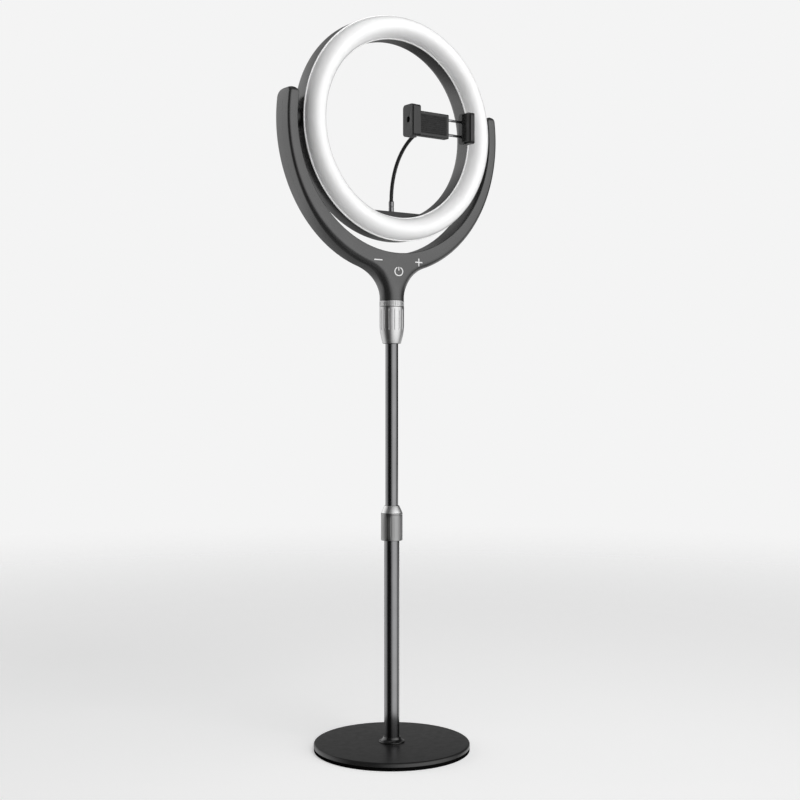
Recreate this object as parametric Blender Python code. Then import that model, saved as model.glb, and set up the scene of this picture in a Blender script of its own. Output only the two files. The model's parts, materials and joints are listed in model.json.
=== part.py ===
"""Ring light on a telescopic table stand, with a gooseneck phone clamp.

Metres, +Z up, front towards -Y. The origin is the centre of the underside of the base.
Every moving group hangs on an empty that stands on its joint's axis.
"""

import math

import bmesh
import bpy
from mathutils import Matrix, Vector

MM = 0.001
GAP = 0.3 * MM
UP = Vector((0, 0, 1))
TOWARDS_FRONT = Vector((0, -1, 0))

# Base
BASE_RADIUS = 91 * MM
BASE_TOP = 9 * MM
COVER_BOTTOM = 3.2 * MM
COVER_WALL = 1.7 * MM
COVER_EDGE_RADIUS = 3.2 * MM
BOLT_RADIUS = 4 * MM

# Telescopic mast
LOWER_TUBE_RADIUS = 8.93 * MM
LOWER_TUBE_WALL = 1.2 * MM
LOWER_TUBE_TOP = 268 * MM
UPPER_TUBE_RADIUS = 7.465 * MM
UPPER_TUBE_WALL = 1 * MM
UPPER_TUBE_BOTTOM = 205 * MM
UPPER_TUBE_TOP = 489 * MM
COLLAR_RADIUS = 12.55 * MM
COLLAR_BOTTOM = 243.8 * MM
COLLAR_SHOULDER = 276 * MM
COLLAR_TOP = 284.4 * MM

# Neck between the mast and the yoke
NECK_RADIUS = 14.35 * MM
NECK_BOTTOM = 473.1 * MM
NECK_SEAM = 516 * MM
NECK_TOP = 522.8 * MM
STEM_RADIUS = 8 * MM

# Yoke: both its contours are ellipses about the ring's centre
RING_Z = 721.4 * MM
YOKE_OUTER = (148.8 * MM, 165.5 * MM)
YOKE_INNER = (136.6 * MM, 143.4 * MM)
YOKE_HALF_DEPTH = 12.5 * MM
YOKE_NECK_RADIUS = 14.1 * MM
YOKE_TIP_Z = 751.4 * MM
YOKE_TIP_ROUND = 4.5 * MM
YOKE_EDGE = 1.4 * MM
YOKE_WALL = 2.4 * MM
FILLET_START = math.radians(74)
INLET_Z = 548 * MM

# Ring head
RING_RADIUS = 130 * MM
RING_HOLE_RADIUS = 102.7 * MM
RIM_Y = -13.7 * MM
DOME_HEIGHT = 17.7 * MM
DOME_WALL = 1.6 * MM
SHELL_BACK_Y = 12 * MM
SHELL_ROUND = 8 * MM
SHELL_WALL = 1.8 * MM
SHELF_TOP = 626 * MM
PIN_RADIUS = 2.5 * MM

# Gooseneck and phone clamp
NECK_TUBE_RADIUS = 2.2 * MM
NECK_START = Vector((0, 0.5, 640)) * MM
BALL_CENTRE = Vector((22.4, -40.5, 721.5)) * MM
BALL_RADIUS = 5.2 * MM
LOW_BEND = math.radians(16)
HIGH_BEND = math.radians(52)
JAW_LOW_Z = 704.3 * MM
JAW_HIGH_Z = 740 * MM
JAW_FRONT_Y = -68 * MM
JAW_BACK_Y = -48 * MM
PHONE_BACK_Y = -58 * MM
LEFT_PAD_X = -12.6 * MM
RIGHT_PAD_X = 57.6 * MM
LEFT_JAW_X = -19 * MM
RIGHT_JAW_X = 70.4 * MM
BODY_RIGHT_X = 40 * MM
ROD_OFFSET_Z = 8.5 * MM
ROD_Y = -53 * MM
ROD_RADIUS = 1.5 * MM


# ---------------------------------------------------------------- scene tools

def clear_scene():
    for obj in list(bpy.data.objects):
        bpy.data.objects.remove(obj, do_unlink=True)


def make_material(name, colour, roughness, metallic=0.0):
    material = bpy.data.materials.new(name)
    material.use_nodes = True
    shader = material.node_tree.nodes["Principled BSDF"]
    shader.inputs["Base Color"].default_value = (*colour, 1)
    shader.inputs["Roughness"].default_value = roughness
    shader.inputs["Metallic"].default_value = metallic
    return material


def hang(obj, parent):
    """Parent an object where it stands. Parents are empties, placed in world space."""
    if parent:
        obj.parent = parent
        obj.matrix_parent_inverse = Matrix.Translation(-parent.location)


def make_empty(name, location, parent=None):
    empty = bpy.data.objects.new(name, None)
    empty.location = location
    empty.empty_display_size = 0.02
    bpy.context.collection.objects.link(empty)
    hang(empty, parent)
    return empty


def build_object(name, bm, material=None, parent=None, sharp_degrees=35):
    bmesh.ops.recalc_face_normals(bm, faces=bm.faces)
    if bm.calc_volume(signed=True) < 0:
        bmesh.ops.reverse_faces(bm, faces=bm.faces)
    mesh = bpy.data.meshes.new(name)
    bm.to_mesh(mesh)
    bm.free()
    mesh.shade_smooth()
    mesh.set_sharp_from_angle(angle=math.radians(sharp_degrees))
    if material:
        mesh.materials.append(material)
    obj = bpy.data.objects.new(name, mesh)
    bpy.context.collection.objects.link(obj)
    hang(obj, parent)
    return obj


def combine(target, tool, operation="DIFFERENCE"):
    """Cut a tool out of a target or join it on, with the tool hidden as a guide."""
    tool.hide_render = True
    tool.display_type = "WIRE"
    modifier = target.modifiers.new(tool.name, "BOOLEAN")
    modifier.operation = operation
    modifier.solver = "EXACT"
    modifier.object = tool
    weld = target.modifiers.new("weld", "WELD")
    weld.merge_threshold = 0.005 * MM


def round_edges(obj, width, segments=2, limit_degrees=40):
    modifier = obj.modifiers.new("rounding", "BEVEL")
    modifier.width = width
    modifier.segments = segments
    modifier.limit_method = "ANGLE"
    modifier.angle_limit = math.radians(limit_degrees)


# ---------------------------------------------------------------- shapes

def arc(centre, radius, start_degrees, end_degrees, steps):
    """Points on a circle, from one angle to another."""
    points = []
    for step in range(steps + 1):
        angle = math.radians(start_degrees + (end_degrees - start_degrees) * step / steps)
        points.append((centre[0] + radius * math.cos(angle), centre[1] + radius * math.sin(angle)))
    return points


def bridge_loops(bm, first, second):
    """Quads between two loops of equal length, or a fan where one loop is a single pole."""
    count = max(len(first), len(second))
    for index in range(count):
        after = (index + 1) % count
        corners = [first[index % len(first)], first[after % len(first)]]
        corners += [second[after % len(second)], second[index % len(second)]]
        distinct = list(dict.fromkeys(corners))
        if len(distinct) > 2:
            bm.faces.new(distinct)


def add_turned(bm, profile, frame=Matrix.Identity(4), segments=48, start_angle=0.0):
    """Spin a closed (radius, height) section about the frame's own Z axis."""
    loops = []
    for radius, height in profile:
        if radius < 1e-7:
            loops.append([bm.verts.new(frame @ Vector((0, 0, height)))])
            continue
        loop = []
        for index in range(segments):
            angle = start_angle + 2 * math.pi * index / segments
            spot = Vector((radius * math.cos(angle), radius * math.sin(angle), height))
            loop.append(bm.verts.new(frame @ spot))
        loops.append(loop)
    for index, loop in enumerate(loops):
        following = loops[(index + 1) % len(loops)]
        if len(loop) + len(following) > 2:
            bridge_loops(bm, loop, following)


def add_extruded(bm, outline, low, high, plane="XZ"):
    """Extrude a closed outline, drawn in the named plane, along the third axis."""
    def spot(point, depth):
        place = {"XY": (*point, depth), "XZ": (point[0], depth, point[1]), "YZ": (depth, *point)}
        return Vector(place[plane])

    near = [bm.verts.new(spot(point, low)) for point in outline]
    far = [bm.verts.new(spot(point, high)) for point in outline]
    bm.faces.new(near)
    bm.faces.new(list(reversed(far)))
    bridge_loops(bm, near, far)


def add_box(bm, low, high):
    outline = [(low[0], low[1]), (high[0], low[1]), (high[0], high[1]), (low[0], high[1])]
    add_extruded(bm, outline, low[2], high[2], "XY")


def axis_frame(centre, direction):
    """A frame at a centre whose Z axis points along a direction."""
    turn = UP.rotation_difference(Vector(direction)).to_matrix().to_4x4()
    return Matrix.Translation(centre) @ turn


def add_rod(bm, start, end, radius, sides=16):
    start = Vector(start)
    run = Vector(end) - start
    profile = [(0, 0), (radius, 0), (radius, run.length), (0, run.length)]
    add_turned(bm, profile, axis_frame(start, run.normalized()), sides, math.pi / sides)


def add_stepped(bm, frame, heights, radii, sides=16):
    """A stepped shaft on a frame's Z axis: one radius between each height and the next."""
    profile = [(0, heights[0])]
    for low, high, radius in zip(heights, heights[1:], radii):
        profile += [(radius, low), (radius, high)]
    profile.append((0, heights[-1]))
    add_turned(bm, profile, frame, sides, math.pi / sides)


def add_swept(bm, centres, radii, sides=10):
    """A round tube along a line of centres, with its own radius at each centre."""
    loops = []
    side = Vector((0, 1, 0))
    for index, centre in enumerate(centres):
        before = centres[max(index - 1, 0)]
        after = centres[min(index + 1, len(centres) - 1)]
        along = (after - before).normalized()
        side = (side - along * side.dot(along)).normalized()
        other = along.cross(side)
        loop = []
        for corner in range(sides):
            angle = 2 * math.pi * corner / sides
            spoke = side * math.cos(angle) + other * math.sin(angle)
            loop.append(bm.verts.new(centre + spoke * radii[index]))
        loops.append(loop)
    for first, second in zip(loops, loops[1:]):
        bridge_loops(bm, first, second)
    bm.faces.new(loops[0])
    bm.faces.new(list(reversed(loops[-1])))


def turned(name, profile, material, parent=None, frame=Matrix.Identity(4), segments=48):
    bm = bmesh.new()
    add_turned(bm, profile, frame, segments)
    return build_object(name, bm, material, parent)


def extruded(name, outline, low, high, plane, material, parent=None):
    bm = bmesh.new()
    add_extruded(bm, outline, low, high, plane)
    return build_object(name, bm, material, parent)


# ---------------------------------------------------------------- base

def make_base(paint, iron, foam, steel, gloss):
    edge_centre = (BASE_RADIUS - COVER_EDGE_RADIUS, BASE_TOP - COVER_EDGE_RADIUS)
    hole = BOLT_RADIUS + GAP
    cover = arc(edge_centre, COVER_EDGE_RADIUS, 90, 0, 3)
    cover += [(BASE_RADIUS, COVER_BOTTOM), (BASE_RADIUS - COVER_WALL, COVER_BOTTOM)]
    cover += [(BASE_RADIUS - COVER_WALL, BASE_TOP - 2 * COVER_WALL)]
    cover += [(BASE_RADIUS - 2 * COVER_WALL, BASE_TOP - COVER_WALL), (hole, BASE_TOP - COVER_WALL)]
    cover += [(hole, BASE_TOP)]
    turned("base_cover", cover, paint, segments=44)

    weight_radius = BASE_RADIUS - 2 * COVER_WALL - GAP
    weight_bottom = COVER_BOTTOM + GAP
    weight_top = BASE_TOP - COVER_WALL - GAP
    weight = [(weight_radius, weight_top), (weight_radius, weight_bottom)]
    weight += [(hole, weight_bottom), (hole, weight_top)]
    turned("base_weight", weight, iron, segments=36)

    pad_radius = BASE_RADIUS - 0.3 * MM
    pad_top = COVER_BOTTOM - GAP
    pad_hole = 9.5 * MM
    pad = [(pad_radius, pad_top), (pad_radius, 0.6 * MM), (pad_radius - 0.6 * MM, 0)]
    pad += [(pad_hole, 0), (pad_hole, pad_top)]
    turned("base_foot_pad", pad, foam, segments=40)

    washer = [(8.2 * MM, 3.1 * MM), (8.2 * MM, 2.3 * MM), (hole, 2.3 * MM), (hole, 3.1 * MM)]
    turned("base_washer", washer, steel, segments=24)
    head_top = 2.0 * MM
    head_radius = 6.5 * MM
    bolt = [(0, 24 * MM), (BOLT_RADIUS, 24 * MM), (BOLT_RADIUS, head_top), (head_radius, head_top)]
    bolt += [(head_radius, 1.0 * MM), (head_radius - 1.2 * MM, 0.4 * MM), (0, 0.4 * MM)]
    base_bolt = turned("base_bolt", bolt, steel, segments=24)
    bm = bmesh.new()
    add_turned(bm, [(0, 0), (2.5 * MM, 0), (2.5 * MM, 1.4 * MM), (0, 1.4 * MM)], segments=6)
    combine(base_bolt, build_object("base_bolt_hex_cutter", bm))

    flange_foot = BASE_TOP + GAP
    flange = [(15 * MM, flange_foot + 0.8 * MM), (15 * MM, flange_foot)]
    flange += [(LOWER_TUBE_RADIUS + GAP, flange_foot), (LOWER_TUBE_RADIUS + GAP, 15.2 * MM)]
    flange += [(9.9 * MM, 15.2 * MM), (11.2 * MM, 12.6 * MM), (13.4 * MM, 10.9 * MM)]
    turned("base_flange", flange, gloss, segments=32)


# ---------------------------------------------------------------- mast

def make_mast(tube_paint, silver, plastic, brass, mast, collar_axis):
    lower_bore = LOWER_TUBE_RADIUS - LOWER_TUBE_WALL
    foot = BASE_TOP + GAP
    lower = [(LOWER_TUBE_RADIUS, LOWER_TUBE_TOP), (LOWER_TUBE_RADIUS, foot)]
    lower += [(lower_bore, foot), (lower_bore, LOWER_TUBE_TOP)]
    turned("lower_tube", lower, tube_paint, segments=32)

    plug_radius = lower_bore - GAP
    plug_bore = BOLT_RADIUS + GAP
    plug = [(plug_radius, 28 * MM), (plug_radius, 10 * MM), (plug_bore, 10 * MM)]
    plug += [(plug_bore, 28 * MM)]
    turned("tube_foot_nut", plug, brass, segments=24)

    upper_bore = UPPER_TUBE_RADIUS - UPPER_TUBE_WALL
    upper = [(UPPER_TUBE_RADIUS, UPPER_TUBE_TOP), (UPPER_TUBE_RADIUS, UPPER_TUBE_BOTTOM)]
    upper += [(upper_bore, UPPER_TUBE_BOTTOM), (upper_bore, UPPER_TUBE_TOP)]
    turned("upper_tube", upper, tube_paint, mast, segments=32)

    bush_top = UPPER_TUBE_BOTTOM - GAP
    bush = [(upper_bore - GAP, UPPER_TUBE_BOTTOM + 10 * MM), (upper_bore - GAP, bush_top)]
    bush += [(UPPER_TUBE_RADIUS, bush_top), (UPPER_TUBE_RADIUS, bush_top - 5 * MM)]
    bush += [(4 * MM, bush_top - 5 * MM), (4 * MM, UPPER_TUBE_BOTTOM + 10 * MM)]
    turned("slide_bush", bush, plastic, mast, segments=24)

    collet_bore = UPPER_TUBE_RADIUS + GAP
    collet = [(8.75 * MM, 280.4 * MM), (10.5 * MM, 275.8 * MM), (10.5 * MM, LOWER_TUBE_TOP + GAP)]
    collet += [(collet_bore, LOWER_TUBE_TOP + GAP), (collet_bore, 280.4 * MM)]
    collet_ring = turned("height_collet", collet, plastic, segments=24)
    bm = bmesh.new()
    add_box(bm, (0, -0.6 * MM, 265 * MM), (15 * MM, 0.6 * MM, 283 * MM))
    combine(collet_ring, build_object("collet_slit_cutter", bm))

    nut_bore = LOWER_TUBE_RADIUS + GAP
    collar = [(8.5 * MM, COLLAR_TOP), (COLLAR_RADIUS - 0.3 * MM, COLLAR_SHOULDER + 0.6 * MM)]
    collar += [(COLLAR_RADIUS, COLLAR_SHOULDER), (COLLAR_RADIUS, COLLAR_BOTTOM + 0.5 * MM)]
    collar += [(COLLAR_RADIUS - 0.5 * MM, COLLAR_BOTTOM), (nut_bore, COLLAR_BOTTOM)]
    collar += [(nut_bore, LOWER_TUBE_TOP), (10.9 * MM, LOWER_TUBE_TOP), (10.9 * MM, COLLAR_SHOULDER)]
    collar += [(7.85 * MM, 283.6 * MM), (7.85 * MM, COLLAR_TOP)]
    turned("height_collar", collar, silver, collar_axis, segments=28)


def make_neck(silver, plastic, brass, steel, mast, neck_axis, pan_axis):
    plug_radius = UPPER_TUBE_RADIUS - UPPER_TUBE_WALL - GAP
    boss_bottom = UPPER_TUBE_TOP + GAP
    spigot = [(plug_radius, boss_bottom), (plug_radius, 476 * MM), (3 * MM, 476 * MM)]
    spigot += [(3 * MM, 499 * MM), (11.6 * MM, 499 * MM), (11.6 * MM, boss_bottom)]
    turned("mast_spigot", spigot, brass, mast, segments=20)

    seam = NECK_SEAM - 0.2 * MM
    nut = [(NECK_RADIUS, seam), (NECK_RADIUS, 495 * MM), (14.1 * MM, 489 * MM)]
    nut += [(13.2 * MM, 483 * MM), (11.8 * MM, 477 * MM), (10.75 * MM, NECK_BOTTOM)]
    nut += [(UPPER_TUBE_RADIUS + GAP, NECK_BOTTOM), (UPPER_TUBE_RADIUS + GAP, 484 * MM)]
    nut += [(12 * MM, 488.5 * MM), (12 * MM, seam)]
    turned("neck_nut", nut, silver, neck_axis, segments=28)

    bush = [(11.6 * MM, 515.4 * MM), (11.6 * MM, 502.2 * MM), (STEM_RADIUS + GAP, 502.2 * MM)]
    bush += [(STEM_RADIUS + GAP, 515.4 * MM)]
    turned("pan_bush", bush, plastic, mast, segments=32)

    stem = [(STEM_RADIUS, 540.7 * MM), (STEM_RADIUS, 501.9 * MM), (10.5 * MM, 501.9 * MM)]
    stem += [(10.5 * MM, 499.6 * MM), (5 * MM, 499.6 * MM), (5 * MM, 544 * MM)]
    stem += [(9.6 * MM, 544 * MM), (9.6 * MM, 540.7 * MM)]
    turned("yoke_stem", stem, steel, pan_axis, segments=24)

    ring_bore = STEM_RADIUS + GAP
    ring = [(NECK_RADIUS, NECK_TOP), (NECK_RADIUS, NECK_SEAM + 0.1 * MM)]
    ring += [(ring_bore, NECK_SEAM + 0.1 * MM), (ring_bore, NECK_TOP)]
    turned("neck_ring", ring, silver, pan_axis, segments=32)


# ---------------------------------------------------------------- yoke

def ellipse_point(axes, angle):
    """A point (x, z) on a yoke contour; the angle runs down from the +X axis."""
    return Vector((axes[0] * math.cos(angle), RING_Z - axes[1] * math.sin(angle)))


def ellipse_normal(axes, angle):
    return Vector((math.cos(angle) / axes[0], -math.sin(angle) / axes[1])).normalized()


def angle_at_height(axes, z):
    return math.asin((RING_Z - z) / axes[1])


def yoke_fillet():
    """Radius and centre of the fillet that runs from the outer ellipse to the neck's side."""
    start = ellipse_point(YOKE_OUTER, FILLET_START)
    normal = ellipse_normal(YOKE_OUTER, FILLET_START)
    radius = (start.x - YOKE_NECK_RADIUS) / (1 - normal.x)
    return radius, start + normal * radius


def smooth(value):
    value = min(max(value, 0.0), 1.0)
    return value * value * (3 - 2 * value)


def yoke_stations():
    """From the arm's tip to the neck: outer and inner point, half depth, corner radius, inner normal.

    Where the section reaches the centre plane below the bow, there is no inner edge and no normal.
    """
    stations = []
    tip_start = YOKE_TIP_Z - YOKE_TIP_ROUND
    for turn in (80, 55, 28, 0):
        rise = YOKE_TIP_ROUND * math.sin(math.radians(turn))
        drop = YOKE_TIP_ROUND * (1 - math.cos(math.radians(turn)))
        z = tip_start + rise
        outer = ellipse_point(YOKE_OUTER, angle_at_height(YOKE_OUTER, z))
        inner_angle = angle_at_height(YOKE_INNER, z)
        inner = ellipse_point(YOKE_INNER, inner_angle)
        outer.x -= drop
        into = ellipse_normal(YOKE_INNER, inner_angle)
        stations.append((outer, inner, YOKE_HALF_DEPTH - 0.8 * drop, 4 * MM, into))
    first = angle_at_height(YOKE_OUTER, tip_start)
    steps = 15
    for step in range(1, steps + 1):
        angle = first + (FILLET_START - first) * step / steps
        outer = ellipse_point(YOKE_OUTER, angle)
        inner = ellipse_point(YOKE_INNER, angle)
        rounding = (4 + 4 * smooth(step / steps)) * MM
        stations.append((outer, inner, YOKE_HALF_DEPTH, rounding, ellipse_normal(YOKE_INNER, angle)))

    radius, centre = yoke_fillet()
    normal = ellipse_normal(YOKE_OUTER, FILLET_START)
    start_angle = math.atan2(-normal.y, -normal.x)
    bottom_inner = RING_Z - YOKE_INNER[1]
    steps = 8
    for step in range(1, steps + 1):
        share = step / steps
        angle = start_angle + (math.pi - start_angle) * share
        outer = centre + radius * Vector((math.cos(angle), math.sin(angle)))
        if share <= 0.5:
            inner_angle = FILLET_START + (math.pi / 2 - FILLET_START) * share * 2
            inner = ellipse_point(YOKE_INNER, inner_angle)
            into = ellipse_normal(YOKE_INNER, inner_angle)
        else:
            drop = (bottom_inner - centre.y - YOKE_EDGE) * smooth(share * 2 - 1) * 0.96
            inner = Vector((0, bottom_inner - YOKE_EDGE - drop))
            into = None
        swell = smooth((536 * MM - outer.y) / (10 * MM))
        half_depth = YOKE_HALF_DEPTH + (YOKE_NECK_RADIUS - YOKE_HALF_DEPTH) * swell
        rounding = 8 * MM + (YOKE_NECK_RADIUS - 8 * MM) * smooth(share)
        stations.append((outer, inner, half_depth, rounding, into))
    foot = NECK_TOP + GAP
    stations.append((Vector((YOKE_NECK_RADIUS, foot)), Vector((0, foot)),
                     YOKE_NECK_RADIUS, YOKE_NECK_RADIUS, None))
    return stations


def add_yoke_half(bm, side):
    """One shell of the yoke: side -1 is the front half, +1 the rear half."""
    parting = 0.15 * MM
    corner_steps = 3
    rows = []
    for outer, inner, half_depth, rounding, into in yoke_stations():
        span = inner - outer
        inward = span.normalized()
        rounding = min(rounding, half_depth - parting, span.length * 0.99)
        section = [(outer, parting)]
        for step in range(corner_steps + 1):
            angle = math.pi / 2 * step / corner_steps
            depth = half_depth - rounding + rounding * math.sin(angle)
            section.append((outer + inward * rounding * (1 - math.cos(angle)), depth))
        if into is None:
            section += [(inner, half_depth), (inner, half_depth), (inner, parting)]
        else:
            section += [(inner + into * YOKE_EDGE, half_depth)]
            section += [(inner, half_depth - YOKE_EDGE), (inner, parting)]
        row = [bm.verts.new((p.x, side * d, p.y)) for p, d in section]
        rows.append((row, inner.x < 1e-7))
    for (row, row_on_axis), (below, below_on_axis) in zip(rows, rows[1:]):
        for index in range(len(row)):
            after = (index + 1) % len(row)
            last_strips = index in (len(row) - 3, len(row) - 2)
            if last_strips and row_on_axis and below_on_axis:
                continue
            bm.faces.new((row[index], row[after], below[after], below[index]))
    bm.faces.new(rows[0][0])
    bm.faces.new(list(reversed(rows[-1][0])))


def yoke_half(name, side, material, parent):
    bm = bmesh.new()
    add_yoke_half(bm, side)
    bmesh.ops.remove_doubles(bm, verts=bm.verts, dist=0.02 * MM)
    mirrored = bmesh.ops.duplicate(bm, geom=bm.verts[:] + bm.edges[:] + bm.faces[:])["geom"]
    for item in mirrored:
        if isinstance(item, bmesh.types.BMVert):
            item.co.x = -item.co.x
    bmesh.ops.remove_doubles(bm, verts=bm.verts, dist=0.02 * MM)
    return build_object(name, bm, material, parent)


def yoke_cavity_outline():
    """Outline of the wiring channel, an even wall inside both contours."""
    outer_side = []
    inner_side = []
    for outer, inner, _, rounding, _ in yoke_stations()[3:-3]:
        inward = (inner - outer).normalized()
        outer_wall = YOKE_WALL + 0.3 * max(rounding - 2 * MM, 0)
        outer_side.append(outer + inward * outer_wall)
        if inner.x > 1e-7:
            inner_side.append(inner - inward * YOKE_WALL)
    floor = outer_side[-1]
    right = outer_side + [Vector((0, floor.y))]
    top = inner_side + [Vector((0, RING_Z - YOKE_INNER[1] - YOKE_WALL))]
    outline = right + [Vector((-p.x, p.y)) for p in reversed(outer_side)]
    outline += [Vector((-p.x, p.y)) for p in inner_side]
    outline += [Vector((p.x, p.y)) for p in reversed(top)]
    return [(p.x, p.y) for p in outline]


SCREW_SPOTS = [(sign * x, z) for x, z in ((138.2 * MM, 680 * MM), (42 * MM, 575.5 * MM))
               for sign in (-1, 1)]


def icon_outlines():
    """Closed outlines (x, z) of the four inlaid key marks, each with its own centre."""
    power = Vector((0, 556.4)) * MM
    minus = Vector((-29, 568.5)) * MM
    plus = Vector((29, 568.5)) * MM
    stroke = 0.65 * MM
    long_arm = 5.4 * MM
    ring_outer = arc(power, 5.4 * MM, 122, 418, 24)
    ring_inner = arc(power, 4.1 * MM, 418, 122, 24)
    bar = [(-stroke, 1.2 * MM), (stroke, 1.2 * MM), (stroke, 6 * MM), (-stroke, 6 * MM)]
    dash = [(-6 * MM, -1.1 * MM), (6 * MM, -1.1 * MM), (6 * MM, 1.1 * MM), (-6 * MM, 1.1 * MM)]
    thick = 1.0 * MM
    cross = [(-long_arm, -thick), (-thick, -thick), (-thick, -long_arm), (thick, -long_arm)]
    cross += [(thick, -thick), (long_arm, -thick), (long_arm, thick), (thick, thick)]
    cross += [(thick, long_arm), (-thick, long_arm), (-thick, thick), (-long_arm, thick)]

    def moved(points, centre):
        return [(centre.x + x, centre.y + z) for x, z in points]

    return {
        "power_key_ring": ring_outer + ring_inner,
        "power_key_bar": moved(bar, power),
        "dimmer_key": moved(dash, minus),
        "brighter_key": moved(cross, plus),
    }


def grown(outline, margin):
    """An outline moved outwards by a margin, corner by corner."""
    result = []
    count = len(outline)
    area = sum(outline[i][0] * outline[(i + 1) % count][1] - outline[(i + 1) % count][0] * outline[i][1]
               for i in range(count))
    sign = 1 if area > 0 else -1
    for index in range(count):
        here = Vector(outline[index])
        before = (here - Vector(outline[index - 1])).normalized()
        after = (Vector(outline[(index + 1) % count]) - here).normalized()
        first = Vector((before.y, -before.x)) * sign
        second = Vector((after.y, -after.x)) * sign
        corner = first + second
        result.append(tuple(here + corner * (2 * margin / corner.length_squared)))
    return result


def board_outline():
    """The touch board: a strip that follows the yoke's lower bow, with a tab below the middle."""
    half_width = 36 * MM
    steps = 12
    top = []
    bottom = []
    radius, centre = yoke_fillet()
    for step in range(steps + 1):
        x = -half_width + 2 * half_width * step / steps
        inner_z = RING_Z - YOKE_INNER[1] * math.sqrt(1 - (x / YOKE_INNER[0]) ** 2)
        side = min(max(centre.x - abs(x), 0), radius * 0.98)
        outer_z = centre.y + math.sqrt(radius ** 2 - side ** 2)
        top.append((x, inner_z - 3.4 * MM))
        bottom.append((x, max(outer_z + 9.8 * MM, 550 * MM)))
    return top + list(reversed(bottom))


def make_yoke(plastic, silk, board_green, steel, pan_axis):
    front = yoke_half("yoke_front_shell", -1, plastic, pan_axis)
    rear = yoke_half("yoke_rear_shell", 1, plastic, pan_axis)

    bm = bmesh.new()
    add_extruded(bm, yoke_cavity_outline(), -9.6 * MM, 9.6 * MM)
    cavity = build_object("yoke_cavity_cutter", bm, parent=pan_axis)

    bosses = bmesh.new()
    holes = bmesh.new()
    for x, z in SCREW_SPOTS:
        add_rod(bosses, (x, -11 * MM, z), (x, 11 * MM, z), 3.2 * MM)
        to_back = axis_frame(Vector((x, 0, z)), -TOWARDS_FRONT)
        add_stepped(holes, to_back, (-9 * MM, 8 * MM, 15 * MM), (1.5 * MM, 2.6 * MM), 12)

    openings = bmesh.new()
    add_stepped(openings, Matrix.Identity(4), (515 * MM, 540.4 * MM, 552 * MM),
                (STEM_RADIUS + GAP, 10 * MM), 20)
    stem_bore = build_object("yoke_stem_cutter", openings, parent=pan_axis)
    pins = bmesh.new()
    for sign in (-1, 1):
        add_rod(pins, (sign * 134 * MM, 0, RING_Z), (sign * 141 * MM, 0, RING_Z), PIN_RADIUS + GAP)
    pin_holes = build_object("yoke_pin_cutter", pins, parent=pan_axis)
    screw_holes = build_object("yoke_screw_cutter", holes, parent=pan_axis)
    combine(cavity, build_object("yoke_boss_guide", bosses, parent=pan_axis))
    for shell in (front, rear):
        combine(shell, cavity)
        for cutter in (stem_bore, pin_holes, screw_holes):
            combine(shell, cutter)

    pockets = bmesh.new()
    face = -YOKE_HALF_DEPTH
    for name, outline in icon_outlines().items():
        extruded(name, outline, face, face + 0.7 * MM, "XZ", silk, pan_axis)
        add_extruded(pockets, grown(outline, 0.15 * MM), face - 1 * MM, face + 1 * MM)
    combine(front, build_object("key_pocket_cutter", pockets, parent=pan_axis))

    inlet_bore = bmesh.new()
    add_extruded(inlet_bore, slot_outline(4.9 * MM, 2.1 * MM), 5 * MM, 16 * MM)
    combine(rear, build_object("inlet_cutter", inlet_bore, parent=pan_axis))
    extruded("touch_board", board_outline(), -9.3 * MM, -7.7 * MM, "XZ", board_green, pan_axis)
    make_inlet(steel, pan_axis)

    for index, (x, z) in enumerate(SCREW_SPOTS):
        screw = [(0, 11.6 * MM), (2.3 * MM, 11.6 * MM), (2.3 * MM, 8.4 * MM), (1.2 * MM, 8.4 * MM)]
        screw += [(1.2 * MM, -7 * MM), (0, -7 * MM)]
        frame = axis_frame(Vector((x, 0, z)), -TOWARDS_FRONT)
        turned(f"yoke_screw_{index + 1}", screw, steel, pan_axis, frame, 12)


def slot_outline(half_width, half_height):
    """A slot with round ends about the inlet's centre."""
    shift = half_width - half_height
    right = arc((shift, INLET_Z), half_height, -90, 90, 8)
    left = arc((-shift, INLET_Z), half_height, 90, 270, 8)
    return right + left


def make_inlet(steel, pan_axis):
    back = YOKE_HALF_DEPTH
    inlet = extruded("power_inlet", slot_outline(4.6 * MM, 1.8 * MM), back - 7 * MM, back, "XZ",
                     steel, pan_axis)
    bore = bmesh.new()
    add_extruded(bore, slot_outline(4.2 * MM, 1.4 * MM), back - 6.2 * MM, back + 1 * MM)
    tongue = bmesh.new()
    add_box(tongue, (-3.3 * MM, back - 6.5 * MM, INLET_Z - 0.35 * MM),
            (3.3 * MM, back - 1.5 * MM, INLET_Z + 0.35 * MM))
    combine(inlet, build_object("inlet_bore_cutter", bore, parent=pan_axis))
    combine(inlet, build_object("inlet_tongue_guide", tongue, parent=pan_axis), "UNION")


# ---------------------------------------------------------------- ring head

RING_FRAME = Matrix.Translation((0, 0, RING_Z)) @ Matrix.Rotation(math.radians(90), 4, "X")


def ring_turned(name, section, material, parent, segments=40):
    """A ring about the light's axis from a closed section of (radius, y) points."""
    return turned(name, [(radius, -y) for radius, y in section], material, parent, RING_FRAME, segments)


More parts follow.
